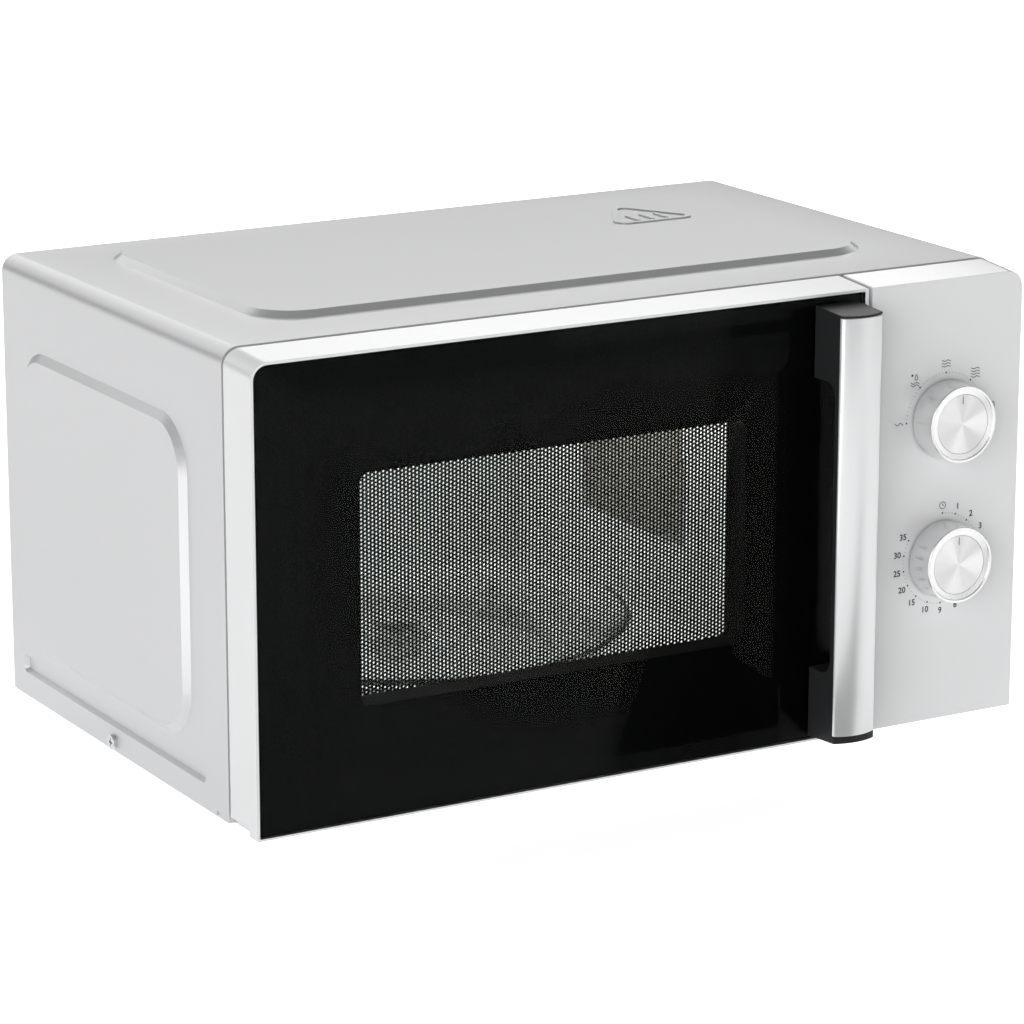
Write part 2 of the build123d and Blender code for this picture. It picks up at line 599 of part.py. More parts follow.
with BuildPart() as choke_cover:
    sheet(choke_flange, choke_limits, 5.0, choke_back - choke_flange, choke_window, 8.0)
    sheet(screen_depth + 1.2, choke_limits, 5.0, choke_back - screen_depth - 1.2, grow(choke_limits,
                                                                                       -choke_wall), 3.8)
    sheet(screen_depth + screen_sheet + 0.4, grow(choke_window, choke_wall), 8.0 + choke_wall,
          choke_back - screen_depth - screen_sheet - 0.4, choke_window, 8.0)
finish(choke_cover, "choke_cover")

with BuildPart() as inner_film:
    sheet(screen_depth + screen_sheet, grow(choke_window, 4.0), 12.0, 0.4)
finish(inner_film, "inner_film")

# Handle: a black grip with two posts and a bright crowned facing
facing_low, facing_high = handle_low + cap_low, handle_high - cap_high
facing_back = -(handle_reach - facing_crown - facing_edge)      # depth of the facing's rear face
grip_rear = facing_back + grip_back
cap_front = facing_back - facing_edge                           # depth of the crown's side edges


def crown(clearance):
    """The handle's section across: flat behind, low at the sides and crowned in front."""
    y_edge, y_crown = front + cap_front + clearance, front - handle_reach + clearance
    with BuildSketch(Plane.XY.offset(handle_low)) as section:
        with BuildLine():
            Polyline((handle_left, y_edge), (handle_left, front), (handle_right, front), (handle_right,
                                                                                          y_edge))
            ThreePointArc((handle_right, y_edge), (handle_x, y_crown), (handle_left, y_edge))
        make_face()
    return section.sketch


with BuildPart() as handle_grip:
    with BuildSketch(Plane.YZ.offset(handle_left)) as profile:
        with BuildLine():
            Polyline((front, handle_low), (front - handle_reach, handle_low + post_taper),
                     (front - handle_reach, handle_high - post_taper), (front, handle_high),
                     (front, handle_high - post_height), (front + grip_rear, handle_high - post_height),
                     (front + grip_rear, handle_low + post_height), (front,
                                                                     handle_low + post_height), close=True)
        make_face()
        fillet(profile.vertices().filter_by(lambda v: abs(v.X - (front + grip_rear)) < 1e-3), grip_corner)
    extrude(profile.sketch, amount=handle_width)
    extrude(crown(0.3), amount=handle_high - handle_low, mode=Mode.INTERSECT)
    block((handle_left - 1, handle_right + 1), (facing_back - 20, facing_back), (facing_low, facing_high),
          mode=Mode.SUBTRACT)
    for x, z in screw_places:
        rod(x, 1, z, (0, -1, 0), handle_screw_radius, 14, mode=Mode.SUBTRACT)
finish(handle_grip, "handle_grip")

with BuildPart() as handle_facing:
    extrude(crown(0), amount=handle_high - handle_low)
    block((handle_left - 1, handle_right + 1), (facing_back, 1), (handle_low - 1, handle_high + 1),
          mode=Mode.SUBTRACT)
    block((handle_left - 1, handle_right + 1), (-60, 1), (handle_low - 1, facing_low), mode=Mode.SUBTRACT)
    block((handle_left - 1, handle_right + 1), (-60, 1), (facing_high, handle_high + 1), mode=Mode.SUBTRACT)
finish(handle_facing, "handle_facing")

with BuildPart() as handle_screws:
    for x, z in screw_places:
        rod(x, web_back, z, (0, 1, 0), handle_screw_radius + 1.8, 2.0)
        rod(x, web_back, z, (0, -1, 0), handle_screw_radius, web_back + 11)
finish(handle_screws, "handle_screws")

# Latch: a key with two hooks that slides up and down in the door, and its spring
key_low, key_high = guide_z[0][0] - 4, guide_z[1][1] + 6
nose_front = frame_back + board_sheet + play
with BuildPart() as latch_key:
    block((latch_x - hook_width / 2, latch_x + hook_width / 2), (key_front, key_back), (key_low, key_high))
    for z in hooks:
        block((latch_x - hook_width / 2, latch_x + hook_width / 2), (key_back, hook_tip), (z,
                                                                                           z + hook_height))
        block((latch_x - hook_width / 2, latch_x + hook_width / 2), (nose_front, hook_tip), (z - hook_nose,
                                                                                             z))
    block((latch_x, spring_x + 1.8), key_depths, (spring_low + spring_length,
                                                  spring_low + spring_length + 3.0))
finish(latch_key, "latch_key")

with BuildPart() as latch_spring:
    with BuildLine(Plane(origin=(spring_x, front + (key_front + key_back) / 2, spring_low + wire))) as turns:
        Helix(pitch=spring_length / 9, height=spring_length - 2 * wire, radius=spring_radius - wire)
    with BuildSketch(Plane(origin=turns.line @ 0, z_dir=turns.line % 0)):
        Circle(wire)
    sweep(is_frenet=True)
finish(latch_spring, "latch_spring")

# --------------------------------------------------------------------------------------------------- controls
panel_face = (panel_left, panel_right, bottom, fascia_top)
panel_back = (panel_left, right, bottom, top - 0.5)
panel_depth = frame_depth                                  # the panel seats on the front frame
knobs = (("power", knob_high), ("timer", knob_low))
unit_front, unit_back = moulding + 2.0, 50.0
with BuildPart() as control_panel:
    loft([fascia(0, panel_face, -1), fascia(door_depth, panel_back, -1)], ruled=True)
    inside_face, inside_back = grow(panel_face, -moulding), grow(panel_back, -moulding)
    loft([fascia(moulding, inside_face, -1, fascia_radius - moulding),
          fascia(door_depth + 1, inside_back, -1, fascia_radius - moulding)], ruled=True, mode=Mode.SUBTRACT)
    for x in (unit_limits[0] + 6, unit_limits[1] - 6):
        for z in (unit_limits[2] + 6, unit_limits[3] - 6):
            rod(x, moulding - 0.5, z, (0, 1, 0), 4.0, unit_front - moulding + 0.5)
    for x in (panel_left + 6, panel_right - 6):
        for z in (bottom + 7, (bottom + top) / 2, fascia_top - 8):
            rod(x, moulding - 0.5, z, (0, 1, 0), 3.5, panel_depth - moulding + 0.5)
    for name, z in knobs:
        rod(knob_x, -1, z, (0, 1, 0), shaft_radius + play, 10, mode=Mode.SUBTRACT)
finish(control_panel, "control_panel")

with BuildPart() as timer_unit:
    block(unit_limits[:2], (unit_front, unit_back), unit_limits[2:])
    chamfer(timer_unit.edges().filter_by(Axis.Y), 3.0)
    for name, z in knobs:
        rod(knob_x, unit_front - 1, z, (0, 1, 0), shaft_radius + running, 30, mode=Mode.SUBTRACT)
    block((knob_x - 18, knob_x + 18), (unit_back, unit_back + 9), (knob_high - 12, knob_high + 12))
finish(timer_unit, "timer_unit")

bell_radius, bell_rise = 17.0, 9.0
with BuildPart() as timer_bell:
    with Locations(Plane(origin=(knob_x, front + unit_back, knob_low), z_dir=(0, 1, 0))):
        Cone(bell_radius, bell_radius - 6, bell_rise, align=(Align.CENTER, Align.CENTER, Align.MIN))
    fillet(timer_bell.edges().sort_by(Axis.Y)[-1], 3.0)
finish(timer_bell, "timer_bell")

knob_face = -(knob_gap + knob_length)                      # depth of the knob's outer face
knob_shell, boss_radius = 2.6, 7.0
disc_thickness, disc_gap = 1.4, 0.2
shaft_inside = 24.0                                        # how far a shaft runs into the timer unit
for name, z in knobs:
    with BuildPart() as knob:
        with Locations(Plane(origin=(knob_x, front - knob_gap, z), z_dir=(0, -1, 0))):
            Cone(knob_radius, knob_nose_radius, knob_length, align=(Align.CENTER, Align.CENTER, Align.MIN))
        fillet(knob.edges().sort_by(Axis.Y)[0], 0.8)
        rod(knob_x, knob_face, z, (0, 1, 0), knob_dish_radius, knob_dish_depth, mode=Mode.SUBTRACT)
        with BuildSketch(depth(-knob_gap)) as underside:
            with Locations((knob_x, z)):
                Circle(knob_nose_radius - knob_shell)
                Circle(boss_radius, mode=Mode.SUBTRACT)
        extrude(underside.sketch, amount=knob_length - knob_dish_depth - knob_shell, mode=Mode.SUBTRACT)
        rod(knob_x, 0, z, (0, -1, 0), shaft_radius, knob_gap + knob_length - knob_dish_depth - 2,
            mode=Mode.SUBTRACT)
    finish(knob, f"{name}_knob")
    with BuildPart() as disc:
        rod(knob_x, knob_face + knob_dish_depth, z, (0, -1, 0), knob_dish_radius - disc_gap, disc_thickness)
    finish(disc, f"{name}_knob_disc")
    with BuildPart() as shaft:
        rod(knob_x, knob_face + knob_dish_depth + 2, z, (0, 1, 0), shaft_radius,
            unit_front + shaft_inside - knob_face - knob_dish_depth - 2)
    finish(shaft, f"{name}_shaft")

# -------------------------------------------------------------------------------------------------- turntable
roller_gap = 0.3
track_floor = cavity_floor - track_depth
roller_z = track_floor + roller_gap + roller_radius
plate_low = roller_z + roller_radius + roller_gap
hub_radius, hub_wall = 14.0, 3.0
drive_depth = 9.0                                          # how far the coupler's shaft runs into the motor
motor_top = cavity_floor - steel
motor_low = base_top + 4.0
spindle = Location((spindle_x, spindle_y, 0))
with BuildPart() as turntable_motor:
    with Locations((spindle_x, spindle_y, motor_low)):
        Cylinder(motor_radius, motor_top - motor_low, align=(Align.CENTER, Align.CENTER, Align.MIN))
        Box(motor_radius * 2 + 16, 10, 1.2, align=(Align.CENTER, Align.CENTER, Align.MIN))
    with Locations((spindle_x, spindle_y, motor_top)):
        Cylinder(drive_shaft_radius + running, 2 * drive_depth + 2, mode=Mode.SUBTRACT)
    with Locations((spindle_x, spindle_y + motor_radius, motor_low)):
        Box(16, 14, 9, align=(Align.CENTER, Align.CENTER, Align.MIN))
finish(turntable_motor, "turntable_motor")

with BuildPart() as turntable_coupler:
    with Locations((spindle_x, spindle_y, motor_top - drive_depth)):
        Cylinder(drive_shaft_radius, drive_depth + 4, align=(Align.CENTER, Align.CENTER, Align.MIN))
    with BuildSketch(Plane.XY.offset(cavity_floor + 1.5)) as lobes:
        with Locations((spindle_x, spindle_y)):
            Circle(8.0)
            with PolarLocations(0, 3):
                with Locations((hub_radius - 4.0, 0)):
                    Circle(4.0)
                with Locations((hub_radius / 2, 0)):
                    Rectangle(hub_radius - 4, 6.0)
    extrude(lobes.sketch, amount=plate_low - cavity_floor - 1.5)
finish(turntable_coupler, "turntable_coupler")

rim_width = 12.0
with BuildPart() as glass_turntable:
    with BuildSketch(Plane(origin=(spindle_x, spindle_y, plate_low), x_dir=(1, 0, 0), z_dir=(0, -1, 0))):
        with BuildLine():
            Polyline((0, 0), (plate_radius - rim_width, 0), (plate_radius - 1.0, plate_rim - 1.5),
                     (plate_radius, plate_rim), (plate_radius - 2.5, plate_rim),
                     (plate_radius - rim_width - 1, plate_thickness), (0, plate_thickness), close=True)
        make_face()
    revolve(axis=Axis((spindle_x, spindle_y, 0), (0, 0, 1)))
    with BuildSketch(Plane.XY.offset(plate_low)) as hub:
        with Locations((spindle_x, spindle_y)):
            Circle(hub_radius + 0.5 + hub_wall)
            Circle(hub_radius + 0.5, mode=Mode.SUBTRACT)
    extrude(hub.sketch, amount=-5.0)
finish(glass_turntable, "glass_turntable")

ring_outside = roller_reach - roller_width / 2 - play
ring_width, ring_height = 9.0, 6.0
axle_stop = 1.6
roller_angles = [30 + 120 * n for n in range(3)]
with BuildPart() as roller_ring:
    with BuildSketch(Plane.XY.offset(roller_z - ring_height / 2)) as ring:
        with Locations((spindle_x, spindle_y)):
            Circle(ring_outside)
            Circle(ring_outside - ring_width, mode=Mode.SUBTRACT)
    extrude(ring.sketch, amount=ring_height)
    for angle in roller_angles:
        axis = Plane(origin=(spindle_x, spindle_y, roller_z), z_dir=(cos(radians(angle)),
                                                                     sin(radians(angle)), 0))
        with Locations(axis.offset(ring_outside - 3)):
            Cylinder(axle_radius, roller_width + 2 * play + axle_stop + 3,
                     align=(Align.CENTER, Align.CENTER, Align.MIN))
        with Locations(axis.offset(roller_reach + roller_width / 2 + play)):
            Cylinder(axle_radius + 1.2, axle_stop, align=(Align.CENTER, Align.CENTER, Align.MIN))
finish(roller_ring, "roller_ring")

for n, angle in enumerate(roller_angles):
    with BuildPart() as roller:
        axis = Plane(origin=(spindle_x, spindle_y, roller_z), z_dir=(cos(radians(angle)),
                                                                     sin(radians(angle)), 0))
        with Locations(axis.offset(roller_reach)):
            Cylinder(roller_radius, roller_width)
            Cylinder(axle_radius + running, roller_width + 2, mode=Mode.SUBTRACT)
        chamfer(roller.edges().filter_by(GeomType.CIRCLE).group_by(SortBy.RADIUS)[-1], 0.6)
    finish(roller, f"roller_{n + 1}")

# --------------------------------------------------------------------------------------------- door interlock
button_radius, button_stroke = 1.6, 6.0
rib_x = latch_x + switch_half
monitor_top = hook_low - 2 * hook_nose - play - button_length - 2.0
board_low, board_high = monitor_top - switch_deep - 3, hook_high + hook_height + 20
with BuildPart() as latch_board:
    sheet(frame_back, (latch_x - 10, rib_x + board_sheet, board_low, board_high), 2.0, board_sheet)
    block((rib_x, rib_x + board_sheet), (frame_back, switch_back), (board_low, board_high))
    for z in hooks:
        block((latch_x - hook_width / 2 - hook_side, latch_x + hook_width / 2 + hook_side),
              (frame_back - 1, frame_back + board_sheet + 1), (z - hook_nose - play, z + hook_height + play),
              mode=Mode.SUBTRACT)
finish(latch_board, "latch_board")

for name, z in (("secondary", hook_low), ("primary", hook_high)):
    middle = z + hook_height / 2
    with BuildPart() as switch:
        block((latch_x - switch_half, rib_x), (switch_front, switch_back),
              (middle - switch_long / 2, middle + switch_long / 2))
        rod(latch_x, switch_front - 1, middle, (0, 1, 0), button_radius + running, button_stroke + 3,
            mode=Mode.SUBTRACT)
    finish(switch, f"{name}_switch")
    with BuildPart() as button:
        rod(latch_x, switch_front - button_length, middle, (0, 1, 0), button_radius,
            button_length + button_stroke)
    finish(button, f"{name}_switch_button")

monitor_depth = (frame_back + board_sheet + 1.0, frame_back + board_sheet + 1.0 + switch_long)
button_depth = (nose_front + hook_tip) / 2
with BuildPart() as monitor_switch:
    block((latch_x - switch_half, rib_x), monitor_depth, (monitor_top - switch_deep, monitor_top))
    rod(latch_x, button_depth, monitor_top + 1, (0, 0, -1), button_radius + running, button_stroke + 3,
        mode=Mode.SUBTRACT)
finish(monitor_switch, "monitor_switch")
with BuildPart() as monitor_switch_button:
    rod(latch_x, button_depth, monitor_top + button_length + 2.0, (0, 0, -1), button_radius,
        button_length + 2.0 + button_stroke)
finish(monitor_switch_button, "monitor_switch_button")

# ---------------------------------------------------------------------------------------- microwave generator
wall_x = cavity_right + steel                              # the component bay's left wall
guide_width = 38.0
guide = (wall_x, wall_x + guide_width)
guide_depth = (generator_front, port_depth + port_width / 2 + guide_margin)
guide_z_limits = (port_z - port_height / 2 - guide_margin, port_z + port_height / 2 + guide_margin)
antenna_radius = 9.0
with BuildPart() as waveguide:
    block(guide, guide_depth, guide_z_limits)
    block((guide[0] - 1, guide[1] - steel), (guide_depth[0] + steel, guide_depth[1] - steel),
          (guide_z_limits[0] + steel, guide_z_limits[1] - steel), mode=Mode.SUBTRACT)
    rod(guide[1] - 5, port_depth, port_z, (1, 0, 0), antenna_radius + 3, 10, mode=Mode.SUBTRACT)
finish(waveguide, "waveguide")

with BuildPart() as waveguide_cover:
    block((cavity_right - 0.5, cavity_right), (port_depth - cover_long / 2, port_depth + cover_long / 2),
          (port_z - cover_high / 2, port_z + cover_high / 2))
finish(waveguide_cover, "waveguide_cover")

yoke, filter_box, fin = 52.0, 26.0, 0.8
yoke_half, yoke_high = port_width / 2 + guide_margin, 33.0
with BuildPart() as magnetron:
    block((guide[1], guide[1] + yoke), (port_depth - yoke_half, port_depth + yoke_half),
          (port_z - yoke_high, port_z + yoke_high))
    block((guide[1] + 6, guide[1] + yoke - 6), (port_depth - yoke_half - 1, port_depth + yoke_half + 1),
          (port_z - yoke_high + 5, port_z + yoke_high - 5), mode=Mode.SUBTRACT)
    rod(guide[1] + 3, port_depth, port_z, (1, 0, 0), 20.0, yoke - 6)
    for n in range(7):
        x = guide[1] + 9 + n * (yoke - 18) / 6
        block((x - fin / 2, x + fin / 2), (port_depth - yoke_half, port_depth + yoke_half),
              (port_z - yoke_high + 4, port_z + yoke_high - 4))
    block((guide[1] + yoke, guide[1] + yoke + filter_box), (port_depth - 28, port_depth + 28),
          (port_z - 22, port_z + 22))
    rod(guide[1] + 1, port_depth, port_z, (-1, 0, 0), antenna_radius, 24)
    fillet(magnetron.faces().sort_by(Axis.X)[0].edges(), 3.0)
finish(magnetron, "magnetron")

core_middle = rib_x + board_sheet + coil_gap + coil_half
core = (core_middle - 45, core_middle + 45)
core_depth = (frame_back + 44, frame_back + 44 + core_length)
core_high = 62.0
with BuildPart() as hv_transformer:
    block(core, core_depth, (base_top, base_top + core_high))
    for x in (core_middle - 22, core_middle + 22):
        block((x - 9, x + 9), (core_depth[0] - 1, core_depth[1] + 1), (base_top + 16,
                                                                       base_top + core_high - 16),
              mode=Mode.SUBTRACT)
    block((core[0] - 6, core[1] + 6), (core_depth[0], core_depth[1]), (base_top, base_top + 3))
finish(hv_transformer, "hv_transformer")

with BuildPart() as transformer_winding:
    for x in (core_middle - 22, core_middle + 22):
        block((x - 8, x + 8), (core_depth[0] - coil_over, core_depth[1] + coil_over),
              (base_top + 16, base_top + core_high - 17))
    for d in (core_depth[0] - coil_over, core_depth[1] + 2):
        block((core_middle - coil_half, core_middle + coil_half), (d, d + coil_over - 2),
              (base_top + 16, base_top + core_high - 17))
finish(transformer_winding, "transformer_winding")

can_width, can_high = 50.0, 32.0
can_x = wall_x + 6 + can_width / 2
coil_back = core_depth[1] + coil_over
can_depth = coil_back + 10
can_length = shroud_front - can_gap - can_depth
clamp_width = 12.0
clamp_depth = (can_depth + 0.375 * can_length, can_depth + 0.375 * can_length + clamp_width)
with BuildPart() as hv_capacitor:
    with BuildSketch(depth(can_depth)) as can:
        with Locations((can_x, base_top + can_high / 2 + 1.5)):
            SlotOverall(can_width, can_high)
    extrude(can.sketch, amount=-can_length)
    for x in (can_x - 9, can_x + 9):
        block((x - 3, x + 3), (can_depth - 8, can_depth), (base_top + 17, base_top + 17.8))
finish(hv_capacitor, "hv_capacitor")

with BuildPart() as capacitor_clamp:
    with BuildSketch(depth(clamp_depth[0])) as band:
        with Locations((can_x, base_top + can_high / 2 + 1.5)):
            SlotOverall(can_width + 3, can_high + 3)
            SlotOverall(can_width, can_high, mode=Mode.SUBTRACT)
    extrude(band.sketch, amount=-clamp_width)
    block((can_x + can_width / 2 + 1, can_x + can_width / 2 + 11), clamp_depth, (base_top, base_top + 1.5))
    block((can_x + can_width / 2, can_x + can_width / 2 + 2), clamp_depth,
          (base_top, base_top + can_high / 2 + 1.5))
    with BuildSketch(depth(clamp_depth[0])) as bore:
        with Locations((can_x, base_top + can_high / 2 + 1.5)):
            SlotOverall(can_width, can_high)
    extrude(bore.sketch, amount=-clamp_width, mode=Mode.SUBTRACT)
finish(capacitor_clamp, "capacitor_clamp")

diode_x, diode_radius, diode_length = can_x + can_width / 2 + 22, 3.5, 16.0
lead_radius, lead_length, eyelet = 0.8, 32.0, 10.0
diode_room = foot_rear - foot_screw - foot_lip - coil_back - lead_length - eyelet + 1
diode_depth = coil_back + diode_share * diode_room
eyelet_depth = diode_depth + lead_length - 1
with BuildPart() as hv_diode:
    rod(diode_x, diode_depth + 8, base_top + diode_radius, (0, 1, 0), diode_radius, diode_length)
    rod(diode_x, diode_depth, base_top + diode_radius, (0, 1, 0), lead_radius, lead_length)
    block((diode_x - 4, diode_x + 4), (eyelet_depth, eyelet_depth + eyelet), (base_top, base_top + 1.0))
    block((diode_x - 0.6, diode_x + 0.6), (eyelet_depth, eyelet_depth + 2), (base_top, base_top + 4.0))
finish(hv_diode, "hv_diode")

# --------------------------------------------------------------------------------------- cooling, lamp, mains
fan_gap = 2.5
motor_core = 19.0
fan_shaft = 2.5
with BuildPart() as fan_shroud:
    with BuildSketch(depth(shroud_front)) as duct:
        with Locations((fan_x, fan_z)):
            RectangleRounded(2 * fan_radius + 14, 2 * fan_radius + 14, 6.0)
            Circle(fan_radius + fan_gap, mode=Mode.SUBTRACT)
    extrude(duct.sketch, amount=-(shroud_back - shroud_front))
    block((fan_x - fan_radius - 7, fan_x + fan_radius + 7), (shroud_front - 2, shroud_front), (fan_z - 6,
                                                                                               fan_z + 6))
    rod(fan_x, shroud_front - 3, fan_z, (0, 1, 0), fan_shaft + 1.5, 5, mode=Mode.SUBTRACT)
finish(fan_shroud, "fan_shroud")

motor_back = shroud_front - 2.0
with BuildPart() as fan_motor:
    block((fan_x - 28, fan_x + 28), (motor_back - motor_core, motor_back), (fan_z - 24, fan_z + 24))
    block((fan_x - 12, fan_x + 12), (motor_back - motor_core - 6, motor_back), (fan_z - 40, fan_z - 24))
    rod(fan_x, motor_back - motor_core, fan_z, (0, -1, 0), 14.0, 8.0)
    rod(fan_x, motor_back - 18, fan_z, (0, 1, 0), fan_shaft + running, 20, mode=Mode.SUBTRACT)
finish(fan_motor, "fan_motor")

blade_count, blade_sheet = 5, 1.4
fan_front, fan_back = shroud_front + 6.0, shroud_back - 5.0
with BuildPart() as fan_blade:
    rod(fan_x, fan_front, fan_z, (0, 1, 0), 11.0, fan_back - fan_front)
    rod(fan_x, motor_back - 15, fan_z, (0, 1, 0), fan_shaft, fan_front - motor_back + 16)
    for n in range(blade_count):
        turn = 360 * n / blade_count
        along = Vector(cos(radians(turn)), 0, sin(radians(turn)))
        with BuildSketch(Plane(origin=(fan_x, front + (fan_front + fan_back) / 2, fan_z),
                               z_dir=along).offset(9)) as root:
            Rectangle(blade_sheet, fan_back - fan_front - 5, rotation=32)
        extrude(root.sketch, amount=fan_radius - 10.5)
finish(fan_blade, "fan_blade")

socket_limits = (wall_x, wall_x + 44.0)
socket_half_depth, socket_half_high, socket_wall = 19.0, 19.0, 1.5
with BuildPart() as lamp_socket:
    block(socket_limits, (lamp_depth - socket_half_depth, lamp_depth + socket_half_depth),
          (lamp_z - socket_half_high, lamp_z + socket_half_high))
    block((wall_x - 1, socket_limits[1] - 10), (lamp_depth - socket_half_depth + socket_wall,
          lamp_depth + socket_half_depth - socket_wall), (lamp_z - socket_half_high + socket_wall,
          lamp_z + socket_half_high - socket_wall), mode=Mode.SUBTRACT)
finish(lamp_socket, "lamp_socket")

bulb_radius, cap_radius = 9.0, 7.0
with BuildPart() as oven_lamp:
    rod(socket_limits[1] - 10, lamp_depth, lamp_z, (-1, 0, 0), cap_radius, 8)
    rod(socket_limits[1] - 17, lamp_depth, lamp_z, (-1, 0, 0), bulb_radius, 14)
    fillet(oven_lamp.faces().sort_by(Axis.X)[0].edges(), bulb_radius - 1)
finish(oven_lamp, "oven_lamp")

with BuildPart() as thermal_cutout:
    with Locations((cavity_right - 60, front + body_depth - 70, cavity_ceiling + steel)):
        Cylinder(8.0, 7.0, align=(Align.CENTER, Align.CENTER, Align.MIN))
        Box(24, 7, 1.0, align=(Align.CENTER, Align.CENTER, Align.MIN))
finish(thermal_cutout, "thermal_cutout")

board_x = right - 66.0
board_z = inlet_z + 34.0
board_depth = body_depth - steel - 8.0
with BuildPart() as filter_board:
    block((board_x - 26, board_x + 26), (board_depth - 1.6, board_depth), (board_z - 14, board_z + 14))
    for x in (board_x - 22, board_x + 22):
        rod(x, board_depth, board_z, (0, 1, 0), 2.5, 8.0)
    rod(board_x - 12, board_depth - 1.6, board_z, (0, -1, 0), 8.0, 9.0)
    block((board_x + 4, board_x + 18), (board_depth - 14, board_depth - 1.6), (board_z - 8, board_z + 4))
finish(filter_board, "filter_board")

cord_radius = 3.6
boot_length, boot_radius = 10.0, 9.5
with BuildPart() as cord_gland:
    with Locations(Plane(origin=(inlet_x, rear, inlet_z), z_dir=(0, 1, 0))):
        Cone(boot_radius, boot_radius - 3, boot_length, align=(Align.CENTER, Align.CENTER, Align.MIN))
    rod(inlet_x, body_depth - steel - 5, inlet_z, (0, 1, 0), inlet_radius, 5 + steel)
    rod(inlet_x, body_depth - steel, inlet_z, (0, -1, 0), boot_radius, 4.0)
    rod(inlet_x, body_depth - 20, inlet_z, (0, 1, 0), cord_radius, 40, mode=Mode.SUBTRACT)
finish(cord_gland, "cord_gland")
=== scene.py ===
"""Dresses a countertop microwave oven with two knobs and a side-hinged glass door.

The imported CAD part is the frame: +X is to the right of a person who faces the door, +Y points away from them
and +Z is up. Lengths are in metres. New pieces are surfaces of two parameters worked out with numpy; the CAD
nodes whose shape is right keep it and get a finish of their own.
"""

import json
import logging
import math
from dataclasses import dataclass, field
from enum import Enum

import bmesh
import bpy
import numpy as np
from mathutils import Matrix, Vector


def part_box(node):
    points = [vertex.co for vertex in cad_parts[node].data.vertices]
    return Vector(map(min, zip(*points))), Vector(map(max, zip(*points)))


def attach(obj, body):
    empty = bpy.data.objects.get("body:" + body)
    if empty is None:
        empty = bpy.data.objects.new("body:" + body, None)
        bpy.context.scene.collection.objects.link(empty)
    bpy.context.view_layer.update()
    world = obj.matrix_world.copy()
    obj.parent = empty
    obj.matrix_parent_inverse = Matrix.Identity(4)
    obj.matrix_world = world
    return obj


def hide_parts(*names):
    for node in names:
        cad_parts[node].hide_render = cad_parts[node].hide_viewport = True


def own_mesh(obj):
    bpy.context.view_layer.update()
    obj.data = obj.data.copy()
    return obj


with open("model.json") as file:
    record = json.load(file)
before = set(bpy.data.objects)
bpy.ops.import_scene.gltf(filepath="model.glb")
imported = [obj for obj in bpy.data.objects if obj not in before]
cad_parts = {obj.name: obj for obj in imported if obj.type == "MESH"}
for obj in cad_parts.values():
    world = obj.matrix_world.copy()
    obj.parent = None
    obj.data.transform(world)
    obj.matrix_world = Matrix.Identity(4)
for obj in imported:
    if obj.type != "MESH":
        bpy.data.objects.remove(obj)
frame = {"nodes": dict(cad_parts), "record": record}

MM = 0.001
LOG = logging.getLogger("oven")


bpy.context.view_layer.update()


# ---------------------------------------------------------------------------------------------- finishes
class Surface(Enum):
    """The ways a finish breaks up its surface."""

    ORANGE_PEEL = "orange peel"
    MOULDED = "moulded grain"
    BRUSHED = "brushed along one direction"
    # Besides its rings, a spun finish gets painted sheen in its colour, which changes with the angle about its
    # axis.
    SPUN = "spun round an axis"
    SMOOTH = "smooth with faint waviness"


@dataclass(frozen=True)
class Finish:
    """A procedural finish.

    Args:
        colour: base colour, linear red, green and blue.
        roughness: middle value of the roughness.
        metallic: 0 for paint and plastic, 1 for bare metal.
        surface: how the surface is broken up.
        grain: size of the grain in metres.
        depth: height of the grain in metres.
        variation: share by which the colour wanders.
        wander: how far the roughness wanders either way.
        specular: the shader's specular level.
        stretch: how the grain is drawn out along X, Y and Z.
        see_through: share of light that passes.
        bending: index of refraction of a see-through finish, set below real glass so that it mirrors faintly.
    """

    colour: tuple[float, float, float]
    roughness: float
    metallic: float = 0.0
    surface: Surface = Surface.MOULDED
    grain: float = 0.8 * MM
    depth: float = 0.01 * MM
    variation: float = 0.04
    wander: float = 0.03
    specular: float = 0.5
    stretch: tuple[float, float, float] = (1.0, 1.0, 1.0)
    see_through: float = 0.0
    bending: float = 1.45

    def material(self, name: str, centre: tuple[float, float, float] = (0.0, 0.0, 0.0)) -> bpy.types.Material:
        """Builds the node material.

        Args:
            name: the material's name.
            centre: the point about which a spun finish turns.

        Returns:
            The new material.
        """
        material = bpy.data.materials.new(name)
        material.use_nodes = True
        graph = Graph(material)
        shader = graph.shader
        shader.inputs["Metallic"].default_value = self.metallic
        shader.inputs["Specular IOR Level"].default_value = self.specular
        if self.see_through:
            shader.inputs["Transmission Weight"].default_value = self.see_through
            shader.inputs["IOR"].default_value = self.bending
        if self.surface is Surface.SPUN:
            place = graph.polar(centre, self.grain)
        else:
            place = graph.mapped(tuple(1.0 / (self.grain * along) for along in self.stretch))
        fine = graph.noise(place, 1.0, 3.0)
        broad = graph.noise(graph.mapped((9.0, 9.0, 9.0)), 1.0, 2.0)
        low = tuple(max(channel * (1.0 - self.variation), 0.0) for channel in self.colour)
        high = tuple(min(channel * (1.0 + self.variation), 1.0) for channel in self.colour)
        both = graph.math("ADD", graph.math("MULTIPLY", fine, 0.6), graph.math("MULTIPLY", broad, 0.4))
        # A spun finish's colour also gets painted sheen: lighter and darker with the angle about its axis,
        # standing in for its highlights.
        if self.surface is Surface.SPUN:
            painted_sheen = graph.painted_sheen(centre, 1.7)
            both = graph.math("ADD", graph.math("MULTIPLY", both, 0.35), graph.math("MULTIPLY", painted_sheen, 0.65))
        graph.link(graph.blend(both, low, high), shader.inputs["Base Color"])
        wander = graph.math("MULTIPLY_ADD", both, 2.0 * self.wander, max(self.roughness - self.wander, 0.0))
        graph.link(wander, shader.inputs["Roughness"])
        if self.surface is Surface.SPUN:
            shader.inputs["Anisotropic"].default_value = 0.75
            graph.radial_tangent(centre)
        if self.surface is Surface.BRUSHED:
            shader.inputs["Anisotropic"].default_value = 0.5
        graph.bump(fine, self.depth)
        return material


